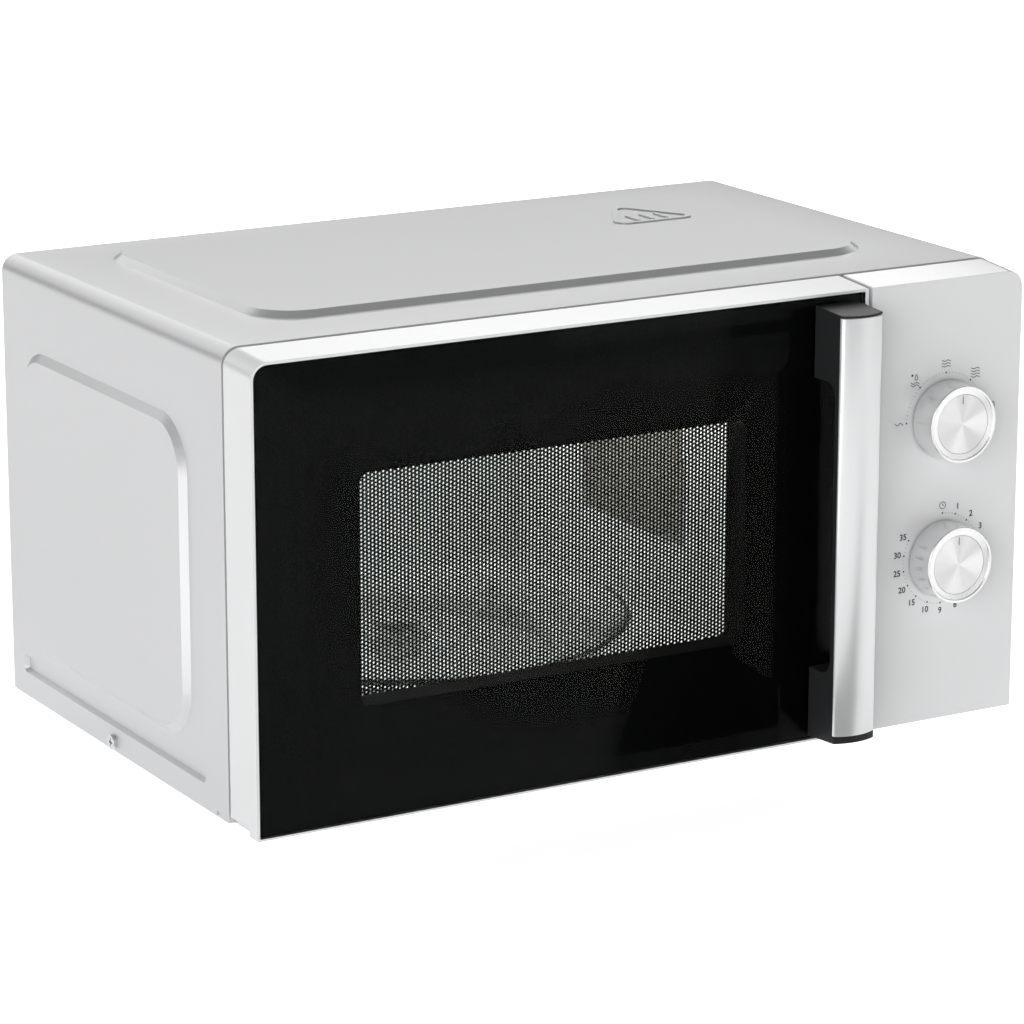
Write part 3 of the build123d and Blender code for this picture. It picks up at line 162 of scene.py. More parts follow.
class Graph:
    """A small writer for node trees round one Principled shader."""

    def __init__(self, material: bpy.types.Material) -> None:
        """Takes over a new material's tree."""
        self.tree = material.node_tree
        self.shader = self.tree.nodes["Principled BSDF"]
        self.place = self.tree.nodes.new("ShaderNodeTexCoord").outputs["Object"]

    def link(self, source: bpy.types.NodeSocket, target: bpy.types.NodeSocket) -> None:
        """Joins two sockets."""
        self.tree.links.new(source, target)

    def mapped(self, scale: tuple[float, ...], start: tuple[float, ...] = (0.0, 0.0, 0.0)
               ) -> bpy.types.NodeSocket:
        """Object coordinates less a start point, scaled along each axis."""
        node = self.tree.nodes.new("ShaderNodeMapping")
        node.inputs["Scale"].default_value = scale
        node.inputs["Location"].default_value = tuple(-s * k for s, k in zip(start, scale))
        self.link(self.place, node.inputs["Vector"])
        return node.outputs["Vector"]

    def noise(self, place: bpy.types.NodeSocket, scale: float, detail: float) -> bpy.types.NodeSocket:
        """Perlin noise at a place, from 0 to 1."""
        node = self.tree.nodes.new("ShaderNodeTexNoise")
        node.inputs["Scale"].default_value = scale
        node.inputs["Detail"].default_value = detail
        self.link(place, node.inputs["Vector"])
        return node.outputs["Fac"]

    def math(self, operation: str, a: bpy.types.NodeSocket | float, b: bpy.types.NodeSocket | float = 0.0,
             c: bpy.types.NodeSocket | float = 0.0) -> bpy.types.NodeSocket:
        """One arithmetic node."""
        node = self.tree.nodes.new("ShaderNodeMath")
        node.operation = operation
        for number, value in enumerate((a, b, c)):
            if isinstance(value, bpy.types.NodeSocket):
                self.link(value, node.inputs[number])
            else:
                node.inputs[number].default_value = value
        return node.outputs[0]

    def blend(self, share: bpy.types.NodeSocket, low: tuple[float, ...], high: tuple[float, ...]
              ) -> bpy.types.NodeSocket:
        """A colour between two colours."""
        node = self.tree.nodes.new("ShaderNodeMix")
        node.data_type = "RGBA"
        self.link(share, node.inputs["Factor"])
        node.inputs["A"].default_value = (*low, 1.0)
        node.inputs["B"].default_value = (*high, 1.0)
        return node.outputs["Result"]

    def polar(self, centre: tuple[float, float, float], grain: float) -> bpy.types.NodeSocket:
        """Rings about a Y axis through a centre: the distance from it in grains, with the angle kept slow."""
        offset = self.mapped((1.0, 1.0, 1.0), centre)
        split = self.tree.nodes.new("ShaderNodeSeparateXYZ")
        self.link(offset, split.inputs[0])
        across, up = split.outputs["X"], split.outputs["Z"]
        square = self.math("ADD", self.math("MULTIPLY", across, across), self.math("MULTIPLY", up, up))
        ring = self.math("DIVIDE", self.math("SQRT", square), grain)
        join = self.tree.nodes.new("ShaderNodeCombineXYZ")
        self.link(ring, join.inputs["X"])
        self.link(self.math("MULTIPLY", self.math("ARCTAN2", up, across), 0.15), join.inputs["Y"])
        return join.outputs["Vector"]

    def painted_sheen(self, centre: tuple[float, float, float], pace: float) -> bpy.types.NodeSocket:
        """Painted sheen: noise that changes with the angle about a Y axis alone, lightening and darkening the
        colour as the highlights of a turned disc would.
        """
        offset = self.mapped((1.0, 0.0, 1.0), centre)
        unit = self.tree.nodes.new("ShaderNodeVectorMath")
        unit.operation = "NORMALIZE"
        self.link(offset, unit.inputs[0])
        node = self.tree.nodes.new("ShaderNodeMapRange")
        self.link(self.noise(unit.outputs[0], pace, 0.0), node.inputs["Value"])
        node.inputs["From Min"].default_value = 0.3
        node.inputs["From Max"].default_value = 0.7
        return node.outputs["Result"]

    def radial_tangent(self, centre: tuple[float, float, float]) -> None:
        """Turns the shader's tangent round a Y axis through a centre, as turning marks run."""
        offset = self.mapped((1.0, 1.0, 1.0), centre)
        cross = self.tree.nodes.new("ShaderNodeVectorMath")
        cross.operation = "CROSS_PRODUCT"
        self.link(offset, cross.inputs[0])
        cross.inputs[1].default_value = (0.0, 1.0, 0.0)
        self.link(cross.outputs[0], self.shader.inputs["Tangent"])

    def bump(self, height: bpy.types.NodeSocket, depth: float) -> None:
        """Raises the surface by a height map of a given depth in metres."""
        node = self.tree.nodes.new("ShaderNodeBump")
        node.inputs["Strength"].default_value = 0.6
        node.inputs["Distance"].default_value = depth
        self.link(height, node.inputs["Height"])
        self.link(node.outputs["Normal"], self.shader.inputs["Normal"])


FINISHES: dict[str, Finish] = {
    "white_steel": Finish((0.53, 0.532, 0.54), 0.34, 0.25, Surface.ORANGE_PEEL, 1.6 * MM, 0.003 * MM,
                          variation=0.015, specular=0.38),
    "white_plastic": Finish((0.67, 0.673, 0.68), 0.2, 0.0, Surface.SMOOTH, 0.7 * MM, 0.004 * MM,
                            variation=0.012),
    "cavity_enamel": Finish((0.74, 0.74, 0.72), 0.25, surface=Surface.ORANGE_PEEL, grain=1.5 * MM,
                            depth=0.02 * MM, variation=0.03),
    "galvanised": Finish((0.56, 0.58, 0.6), 0.42, 0.85, Surface.BRUSHED, 6.0 * MM, 0.01 * MM, 0.14),
    "screen_black": Finish((0.012, 0.012, 0.013), 0.38, surface=Surface.ORANGE_PEEL, grain=0.5 * MM,
                           depth=0.006 * MM, variation=0.1, specular=0.03),
    "sleeve_black": Finish((0.006, 0.0065, 0.007), 0.5, grain=0.4 * MM, depth=0.01 * MM, variation=0.1,
                           specular=0.03),
    "grey_plastic": Finish((0.16, 0.165, 0.17), 0.42, grain=0.5 * MM, depth=0.02 * MM, variation=0.06),
    "black_plastic": Finish((0.018, 0.0185, 0.0195), 0.48, grain=0.35 * MM, depth=0.012 * MM, variation=0.1,
                            specular=0.15),
    "handle_silver": Finish((0.72, 0.725, 0.73), 0.3, 0.55, Surface.BRUSHED, 0.5 * MM, 0.004 * MM, 0.03,
                            stretch=(1.0, 1.0, 26.0)),
    "knob_silver": Finish((0.84, 0.84, 0.845), 0.26, 0.8, Surface.BRUSHED, 0.4 * MM, 0.004 * MM, 0.05,
                          stretch=(1.0, 18.0, 1.0)),
    # The spun aluminium's colour is mostly painted sheen, lighter and darker with the angle about the knob's
    # axis.
    "spun_aluminium": Finish((0.7, 0.7, 0.705), 0.24, 1.0, Surface.SPUN, 0.16 * MM, 0.006 * MM, 0.2),
    "steel_hardware": Finish((0.56, 0.57, 0.58), 0.3, 0.9, Surface.SMOOTH, 1.0 * MM, 0.006 * MM, 0.1),
    "spring_steel": Finish((0.5, 0.51, 0.53), 0.25, 1.0, Surface.SMOOTH, 0.5 * MM, 0.004 * MM, 0.08),
    "nylon_white": Finish((0.74, 0.735, 0.7), 0.45, grain=0.9 * MM, depth=0.015 * MM, variation=0.03),
    "switch_black": Finish((0.022, 0.022, 0.024), 0.4, grain=0.6 * MM, depth=0.015 * MM, variation=0.12),
    "switch_button": Finish((0.5, 0.035, 0.02), 0.35, grain=0.6 * MM, depth=0.01 * MM, variation=0.06),
    "mica": Finish((0.3, 0.285, 0.24), 0.5, 0.0, Surface.SMOOTH, 4.0 * MM, 0.02 * MM, 0.22),
    "laminated_iron": Finish((0.06, 0.06, 0.065), 0.5, 0.6, Surface.BRUSHED, 0.5 * MM, 0.05 * MM, 0.3,
                             stretch=(30.0, 1.0, 30.0)),
    "copper_winding": Finish((0.32, 0.1, 0.03), 0.3, 0.35, Surface.BRUSHED, 0.7 * MM, 0.08 * MM, 0.2,
                             stretch=(30.0, 30.0, 1.0)),
    "aluminium_can": Finish((0.68, 0.69, 0.7), 0.34, 0.95, Surface.BRUSHED, 1.2 * MM, 0.01 * MM, 0.1,
                            stretch=(1.0, 16.0, 1.0)),
    "circuit_board": Finish((0.16, 0.1, 0.035), 0.5, surface=Surface.SMOOTH, grain=3.0 * MM, depth=0.01 * MM,
                            variation=0.15),
    "foot_rubber": Finish((0.03, 0.03, 0.032), 0.7, grain=0.7 * MM, depth=0.03 * MM, variation=0.15),
    "timer_plastic": Finish((0.62, 0.6, 0.53), 0.45, grain=0.8 * MM, depth=0.015 * MM, variation=0.04),
    "bell_steel": Finish((0.6, 0.57, 0.48), 0.22, 1.0, Surface.SMOOTH, 1.0 * MM, 0.004 * MM, 0.08),
    "mark_grey": Finish((0.02, 0.021, 0.023), 0.5, surface=Surface.SMOOTH, grain=0.4 * MM, depth=0.002 * MM,
                        variation=0.05, specular=0.2),
    "index_grey": Finish((0.3, 0.3, 0.31), 0.35, surface=Surface.SMOOTH, grain=0.4 * MM, depth=0.002 * MM,
                         variation=0.05),
    "print_black": Finish((0.0015, 0.0018, 0.0018), 0.3, 0.0, Surface.SMOOTH, 1.0 * MM, 0.001 * MM,
                          variation=0.2, specular=0.02),
    "turntable_glass": Finish((0.93, 0.96, 0.95), 0.05, 0.0, Surface.SMOOTH, 8.0 * MM, 0.02 * MM,
                              variation=0.01, see_through=1.0, bending=1.3),
    "clear_film": Finish((0.96, 0.97, 0.98), 0.08, surface=Surface.SMOOTH, grain=14.0 * MM, depth=0.03 * MM,
                         variation=0.01, see_through=1.0, bending=1.2),
    "door_pane": Finish((0.92, 0.95, 0.94), 0.002, surface=Surface.SMOOTH, grain=40.0 * MM, depth=0.0004 * MM,
                        variation=0.01, wander=0.002, see_through=1.0, bending=1.102),
}

SLOT_FINISH: dict[str, str] = {"clear_glass": "turntable_glass", "black_glass": "door_pane"}


@dataclass
class Workshop:
    """Keeps one material per finish and hands it out."""

    made: dict[str, bpy.types.Material] = field(default_factory=dict)

    def finish(self, name: str, centre: tuple[float, float, float] | None = None) -> bpy.types.Material:
        """The material of a finish.

        Args:
            name: a key of FINISHES.
            centre: the axis of a spun finish, which then has a material of its own.

        Returns:
            The material, made at its first use.
        """
        key = name if centre is None else f"{name}_{round(centre[2] / MM)}"
        if key not in self.made:
            self.made[key] = FINISHES[name].material(key, centre or (0.0, 0.0, 0.0))
        return self.made[key]

    def dress(self, piece: bpy.types.Object, name: str,
              centre: tuple[float, float, float] | None = None) -> None:
        """Gives every slot of a piece one finish."""
        if not piece.material_slots:
            piece.data.materials.append(None)
        for place in piece.material_slots:
            place.material = self.finish(name, centre)


SHOP = Workshop()


# ---------------------------------------------------------------------------------------------- surfaces
def in_scene(name: str, data: bpy.types.ID) -> bpy.types.Object:
    """A new object in the scene, at the origin."""
    made = bpy.data.objects.new(name, data)
    bpy.context.scene.collection.objects.link(made)
    return made


class Ends(Enum):
    """What closes a surface at its first and last ring."""

    LOOPED = "the last ring joins the first"
    CAPPED = "a fan to the middle of each end ring"


def make_object(name: str, points: np.ndarray, faces: list[list[int]]) -> bpy.types.Object:
    """A mesh object from points and faces, its normals made to point outwards.

    Args:
        name: the piece's name.
        points: N by 3, in metres.
        faces: lists of vertex numbers.

    Returns:
        The object, at the origin.
    """
    mesh = bpy.data.meshes.new(name)
    mesh.from_pydata(points.tolist(), [], faces)
    bm = bmesh.new()
    bm.from_mesh(mesh)
    bmesh.ops.remove_doubles(bm, verts=bm.verts, dist=1e-7)
    bmesh.ops.recalc_face_normals(bm, faces=bm.faces)
    bm.to_mesh(mesh)
    bm.free()
    piece = in_scene(name, mesh)
    return piece


def ring_surface(name: str, rings: np.ndarray, ends: Ends = Ends.CAPPED) -> bpy.types.Object:
    """A surface through closed rings of equal count: point (i, j) is the jth point of the ith ring.

    Args:
        name: the piece's name.
        rings: K by N by 3, in metres.
        ends: what closes the surface.

    Returns:
        The object.
    """
    count, around = rings.shape[:2]
    number = np.arange(count * around).reshape(count, around)
    if ends is Ends.LOOPED:
        number = np.vstack([number, number[:1]])
    here, there = number[:-1], number[1:]
    quads = np.stack([here, np.roll(here, -1, 1), np.roll(there, -1, 1), there], -1).reshape(-1, 4)
    points = rings.reshape(-1, 3)
    faces = quads.tolist()
    if ends is Ends.CAPPED:
        middles = rings[[0, -1]].mean(1)
        points = np.vstack([points, middles])
        for ring, middle in ((number[0], len(points) - 2), (number[-1], len(points) - 1)):
            faces += np.stack([ring, np.roll(ring, -1), np.full(around, middle)], -1).tolist()
    return make_object(name, points, faces)


def turned(profile: np.ndarray, x: float, z: float, steps: int = 96) -> np.ndarray:
    """Rings of a shape turned about an axis along Y: each profile point (radius, y) makes one circle.

    Args:
        profile: K by 2, radius and y.
        x: the axis's place.
        z: the axis's place.
        steps: points in a circle.

    Returns:
        K by steps by 3.
    """
    angle = np.linspace(0.0, 2.0 * math.pi, steps, endpoint=False)
    radius, y = profile[:, :1], profile[:, 1:]
    return np.stack([x + radius * np.cos(angle), y + 0.0 * angle, z + radius * np.sin(angle)], -1)


def rounded_outline(low: tuple[float, float], high: tuple[float, float],
                    radii: tuple[float, float, float, float], steps: int = 9) -> np.ndarray:
    """Points on a rectangle with four corner arcs, counterclockwise from the lower left corner.

    Each corner is an arc: its centre plus its radius times the cosine and sine of a quarter turn.

    Args:
        low: lowest x and z.
        high: highest x and z.
        radii: of the lower left, lower right, upper right and upper left corner.
        steps: points in an arc.

    Returns:
        4 * steps by 2.
    """
    corners = ((low[0], low[1], 1, 1), (high[0], low[1], -1, 1),
               (high[0], high[1], -1, -1), (low[0], high[1], 1, -1))
    arcs = []
    for number, ((x, z, inward_x, inward_z), radius) in enumerate(zip(corners, radii)):
        angle = math.pi + number * math.pi / 2 + np.linspace(0.0, math.pi / 2, steps)
        arcs.append(np.stack([x + inward_x * radius + radius * np.cos(angle),
                              z + inward_z * radius + radius * np.sin(angle)], -1))
    return np.vstack(arcs)


def upright(outline: np.ndarray, y: float) -> np.ndarray:
    """An outline of x and z set upright at a place along Y."""
    return np.stack([outline[:, 0], np.full(len(outline), y), outline[:, 1]], -1)


def shade_smooth(piece: bpy.types.Object, angle: float = 30.0) -> None:
    """Smooths a piece's faces where they meet at less than an angle in degrees."""
    mesh = piece.data
    mesh.polygons.foreach_set("use_smooth", np.ones(len(mesh.polygons), dtype=bool))
    bm = bmesh.new()
    bm.from_mesh(mesh)
    for edge in bm.edges:
        edge.smooth = len(edge.link_faces) == 2 and edge.calc_face_angle(0.0) < math.radians(angle)
    bm.to_mesh(mesh)
    bm.free()


def softened(node: str, name: str, width: float, angle: float = 28.0, segments: int = 3) -> bpy.types.Object:
    """A merged copy of a CAD node with small rounded edges, which stands for the node.

    Args:
        node: the CAD node.
        name: the copy's name.
        width: width of the rounding in metres.
        angle: edges sharper than this many degrees are rounded.
        segments: faces across a rounding.

    Returns:
        The copy, with its node hidden.
    """
    source = frame["nodes"][node]
    mesh = source.data.copy()
    bm = bmesh.new()
    bm.from_mesh(mesh)
    bmesh.ops.remove_doubles(bm, verts=bm.verts, dist=2e-6)
    bmesh.ops.dissolve_limit(bm, angle_limit=math.radians(0.6), verts=bm.verts, edges=bm.edges)
    bm.to_mesh(mesh)
    bm.free()
    mesh.name = name
    piece = in_scene(name, mesh)
    for custom in [a.name for a in mesh.attributes if a.name == "custom_normal"]:
        mesh.attributes.remove(mesh.attributes[custom])
    shade_smooth(piece, angle)
    if width:
        bevel = piece.modifiers.new("rounded_edges", "BEVEL")
        bevel.width = width
        bevel.segments = segments
        bevel.limit_method = "ANGLE"
        bevel.angle_limit = math.radians(angle)
        bevel.use_clamp_overlap = True
        bevel.harden_normals = False
        bevel.miter_outer = "MITER_ARC"
    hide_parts(node)
    return piece


def settle(piece: bpy.types.Object, body: str, finish: str,
           centre: tuple[float, float, float] | None = None) -> bpy.types.Object:
    """Dresses a new piece, puts it on its body and reports it."""
    SHOP.dress(piece, finish, centre)
    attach(piece, body)
    LOG.info("%s rides on %s in %s", piece.name, body, finish)
    return piece


def text_mesh(name: str, words: str, height: float) -> np.ndarray:
    """The vertices and faces of a flat text, centred on the origin in x and z.

    Args:
        name: a name for the passing curve.
        words: what it says.
        height: height of a capital in metres.

    Returns:
        The mesh's points, N by 3, and its faces.
    """
    curve = bpy.data.curves.new(name, "FONT")
    curve.body = words
    curve.size = height / 0.7
    curve.align_x = "CENTER"
    curve.align_y = "CENTER"
    curve.resolution_u = 3
    curve.offset = 0.03 * height
    passing = in_scene(name, curve)
    mesh = bpy.data.meshes.new_from_object(passing)
    points = np.empty(len(mesh.vertices) * 3)
    mesh.vertices.foreach_get("co", points)
    points = points.reshape(-1, 3)[:, [0, 2, 1]]
    faces = [list(polygon.vertices) for polygon in mesh.polygons]
    bpy.data.objects.remove(passing)
    bpy.data.curves.remove(curve)
    bpy.data.meshes.remove(mesh)
    return points, faces


# ---------------------------------------------------------------------------------------------- casing
@dataclass
class Casing:
    """The wrap-round casing, the feet, the rear panel and their screws."""

    edge: float = 1.0 * MM
    press_angle: float = 14.0
    hardware: tuple[str, ...] = ("rear_screws", "casing_screws")

    def build(self) -> None:
        """Makes the casing's pieces."""
        wrap = softened("outer_casing", "casing_wrap", self.edge, self.press_angle, 3)
        settle(wrap, "housing", "white_steel")
        rear = softened("rear_panel", "rear_cover", 0.8 * MM, self.press_angle, 3)
        settle(rear, "housing", "galvanised")
        for node in self.hardware:
            head = softened(node, f"{node}_plated", 0.25 * MM, 40.0, 2)
            settle(head, "housing", "steel_hardware")
        feet = softened("feet", "rubber_feet", 0.8 * MM, 40.0, 3)
        settle(feet, "housing", "foot_rubber")


# ---------------------------------------------------------------------------------------------- door
@dataclass
class Door:
    """The side-hinged door: frame, glass, print, window sleeve, perforated screen and handle."""

    corner: float = 7.5 * MM
    small_corner: float = 0.8 * MM
    pane: float = 3.0 * MM
    print_gap: float = 0.02 * MM
    print_layer: float = 0.12 * MM
    print_inset: float = 0.1 * MM
    sleeve_flange: float = 6.4 * MM
    window_corner: float = 6.0 * MM
    pane_edge: float = 0.35 * MM
    column_pitch: float = 2.08 * MM
    row_pitch: float = 2.075 * MM
    hole: float = 0.675 * MM
    columns: int = 106
    rows: int = 57
    sheet: float = 0.6 * MM
    plate_corner: float = 4.0 * MM
    facing_edge: float = 1.1 * MM
    facing_bow: float = 3.5 * MM
    facing_roll: float = 0.55
    facing_end: float = 0.5 * MM
    facing_steps: int = 41
    spring_play: float = 0.2 * MM

    def build(self) -> None:
        """Makes the door's pieces."""
        surround = softened("door_frame", "door_surround", 0.55 * MM, 30.0, 3)
        settle(surround, "door", "white_plastic")
        tunnel = softened("window_sleeve", "window_tunnel", 0.4 * MM, 40.0, 2)
        settle(tunnel, "door", "sleeve_black")
        self.glass()
        self.screen()
        liner = softened("choke_cover", "door_liner", 0.5 * MM, 40.0, 2)
        settle(liner, "door", "grey_plastic")
        grip = softened("handle_grip", "handle_body", 1.3 * MM, 30.0, 4)
        settle(grip, "door", "black_plastic")
        self.facing()
        self.spring()

    def spring(self) -> None:
        """The latch spring on a mesh of its own; the real one shortens towards its lower end as the key slides
        down.
        """
        piece = softened("latch_spring", "key_spring", 0.0)
        settle(piece, "door", "spring_steel")
        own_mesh(piece)

    def glass(self) -> None:
        """The pane and the black print behind it.

        Both are rings of one outline: the pane's rings step in at its edges, and the print's outer rings join
        rings round the window.
        """
        low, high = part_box("door_glass")
        radii = (self.small_corner, self.small_corner, self.small_corner, self.corner)

        def outline(inset: float, y: float) -> np.ndarray:
            """The glass's outline, moved inwards and set at a place along Y."""
            shape = rounded_outline((low.x + inset, low.z + inset), (high.x - inset, high.z - inset),
                                    tuple(max(radius - inset, 0.1 * MM) for radius in radii))
            return upright(shape, y)

        front, back = low.y, low.y + self.pane
        share = np.linspace(0.0, math.pi / 2, 4)
        front_edge = [(self.pane_edge * (1 - math.sin(t)), front + self.pane_edge * (1 - math.cos(t)))
                      for t in share]
        rings = np.array([outline(inset, y) for inset, y in front_edge] + [outline(0.0, back)])
        pane = ring_surface("door_pane", rings)
        shade_smooth(pane)
        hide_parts("door_glass")
        settle(pane, "door", "door_pane")

        sleeve_low, sleeve_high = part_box("window_sleeve")
        window = rounded_outline((sleeve_low.x + self.sleeve_flange, sleeve_low.z + self.sleeve_flange),
                                 (sleeve_high.x - self.sleeve_flange, sleeve_high.z - self.sleeve_flange),
                                 (self.window_corner,) * 4)
        near, far = back + self.print_gap, back + self.print_gap + self.print_layer
        layer = np.array([outline(self.print_inset, near), outline(self.print_inset, far),
                          upright(window, far), upright(window, near)])
        settle(ring_surface("glass_print", layer, Ends.LOOPED), "door", "print_black")

    def screen(self) -> None:
        """The perforated sheet in two fields, and the plate round them with its flange."""
        low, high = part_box("door_screen")
        sleeve_low, sleeve_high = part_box("window_sleeve")
        middle_x, middle_z = (sleeve_low.x + sleeve_high.x) / 2, (sleeve_low.z + sleeve_high.z) / 2
        wide, tall = self.columns * self.column_pitch, (self.rows + 0.5) * self.row_pitch
        start_x, start_z = middle_x - wide / 2, middle_z - tall / 2
        half = self.columns // 2
        for number, name in enumerate(("screen_field_left", "screen_field_right")):
            left = start_x + number * half * self.column_pitch
            field_piece = self.perforated(name, half, left, start_z, low.y)
            settle(field_piece, "door", "screen_black")
        inner = rounded_outline((start_x, start_z), (start_x + wide, start_z + tall), (1e-6,) * 4)
        outer = rounded_outline((low.x, low.z), (high.x, high.z), (self.plate_corner,) * 4)
        inside = rounded_outline((low.x + self.sheet, low.z + self.sheet),
                                 (high.x - self.sheet, high.z - self.sheet),
                                 (self.plate_corner - self.sheet,) * 4)
        plate = np.array([upright(inner, low.y), upright(outer, low.y), upright(outer, high.y),
                          upright(inside, high.y), upright(inside, low.y + self.sheet),
                          upright(inner, low.y + self.sheet)])
        rim = ring_surface("screen_plate", plate, Ends.LOOPED)
        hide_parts("door_screen")
        settle(rim, "door", "screen_black")

    def perforated(self, name: str, columns: int, start_x: float, start_z: float, y: float
                   ) -> bpy.types.Object:
        """A field of round holes in staggered columns.

        Every hole sits in a cell with eight border points, joined to the eight points of its own circle. A
        column's cells are half a pitch above the next column's, and blank half cells even out its ends.

        Args:
            name: the piece's name.
            columns: how many columns.
            start_x: the field's left edge.
            start_z: its lower edge.
            y: the sheet's front face.

        Returns:
            The piece, with a Solidify modifier for its thickness.
        """
        turn = np.arange(8) * math.pi / 4
        border = np.stack([np.sign(np.round(np.cos(turn), 6)) * self.column_pitch / 2,
                           np.sign(np.round(np.sin(turn), 6)) * self.row_pitch / 2], -1)
        circle = self.hole * np.stack([np.cos(turn), np.sin(turn)], -1)
        column, row = np.meshgrid(np.arange(columns), np.arange(self.rows), indexing="ij")
        raised = (column % 2) * 0.5
        centre = np.stack([start_x + (column + 0.5) * self.column_pitch,
                           start_z + (row + 0.5 + raised) * self.row_pitch], -1).reshape(-1, 1, 2)
        cells = np.concatenate([centre + border, centre + circle], 1)
        number = np.arange(8)
        template = np.stack([number, np.roll(number, -1), np.roll(number, -1) + 8, number + 8], -1)
        quads = (template[None] + 16 * np.arange(len(cells))[:, None, None]).reshape(-1, 4)
        ends = np.arange(columns)
        x = start_x + ends * self.column_pitch
        z = np.where(ends % 2, start_z, start_z + self.rows * self.row_pitch)
        edge = np.where(ends % 2, z + 0.5 * self.row_pitch, z)
        outside = np.where(ends % 2, z, z + 0.5 * self.row_pitch)
        steps = np.array([0.0, 0.5, 1.0]) * self.column_pitch
        inner_edge = np.stack([x[:, None] + steps, np.repeat(edge[:, None], 3, 1)], -1)
        outer_edge = np.stack([x[:, None] + steps[::2], np.repeat(outside[:, None], 2, 1)], -1)[:, ::-1]
        blanks = np.concatenate([inner_edge, outer_edge], 1).reshape(-1, 2)
        first = len(cells) * 16
        pentagons = first + np.arange(len(blanks)).reshape(-1, 5)
        flat = np.vstack([cells.reshape(-1, 2), blanks])
        key, back = np.unique(np.round(flat / (0.002 * MM)).astype(np.int64), axis=0, return_inverse=True)
        back = back.reshape(-1)
        points = np.zeros((len(key), 3))
        points[back] = np.stack([flat[:, 0], np.full(len(flat), y), flat[:, 1]], -1)
        faces = back[quads].tolist() + back[pentagons].tolist()
        piece = make_object(name, points, faces)
        if piece.data.polygons[0].normal.y > 0:
            piece.data.flip_normals()
        wall = piece.modifiers.new("sheet", "SOLIDIFY")
        wall.thickness = self.sheet
        wall.offset = -1.0
        return piece

    def facing(self) -> None:
        """The handle's crowned facing.

        Its section is an arc over the handle's width with rounded side edges. It is carried up Z, and near
        both ends it shrinks along a quarter circle, so that the ends are rounded too.
        """
        low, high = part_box("handle_facing")
        half, middle = (high.x - low.x) / 2, (high.x + low.x) / 2
        crown, edge = low.y, low.y + self.facing_bow
        back = high.y
        across = np.linspace(-1.0, 1.0, self.facing_steps)
        radius = (half ** 2 + (edge - crown) ** 2) / (2 * (edge - crown))
        bow = crown + radius - np.sqrt(radius ** 2 - (across * half) ** 2)
        near_side = np.clip((np.abs(across) * half - (half - self.facing_edge)) / self.facing_edge, 0.0, 1.0)
        drop = self.facing_edge * (1.0 - np.sqrt(1.0 - near_side ** 2)) * self.facing_roll
        front = np.stack([middle + across * half, np.minimum(bow + drop, back)], -1)
        rear = np.stack([middle + across[::-1] * half, np.full(self.facing_steps, back)], -1)
        section = np.vstack([front, rear])
        end = np.linspace(0.0, math.pi / 2, 5)
        soft = self.facing_end
        lower = [(low.z + soft * (1 - math.cos(t)), soft * (1 - math.sin(t))) for t in end]
        upper = [(high.z - height + low.z, inset) for height, inset in lower[::-1]]
        rings = []
        for z, inset in lower + upper:
            shrunk = section.copy()
            shrunk[:, 0] = middle + (section[:, 0] - middle) * (1 - inset / half)
            shrunk[:, 1] = np.minimum(section[:, 1] + inset, back)
            rings.append(np.stack([shrunk[:, 0], shrunk[:, 1], np.full(len(section), z)], -1))
        piece = ring_surface("handle_front", np.array(rings))
        shade_smooth(piece, 40.0)
        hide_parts("handle_facing")
        settle(piece, "door", "handle_silver")


# ---------------------------------------------------------------------------------------------- controls
class Icon(Enum):
    """The small pictures round the dials."""

    TILDE = "one wave"
    DEFROST = "a star over a drop and two waves"
    THREE_WAVES = "three waves"
    FOUR_WAVES = "four waves"
    WAVES_DROP = "waves and a drop"
    CLOCK = "a clock face"


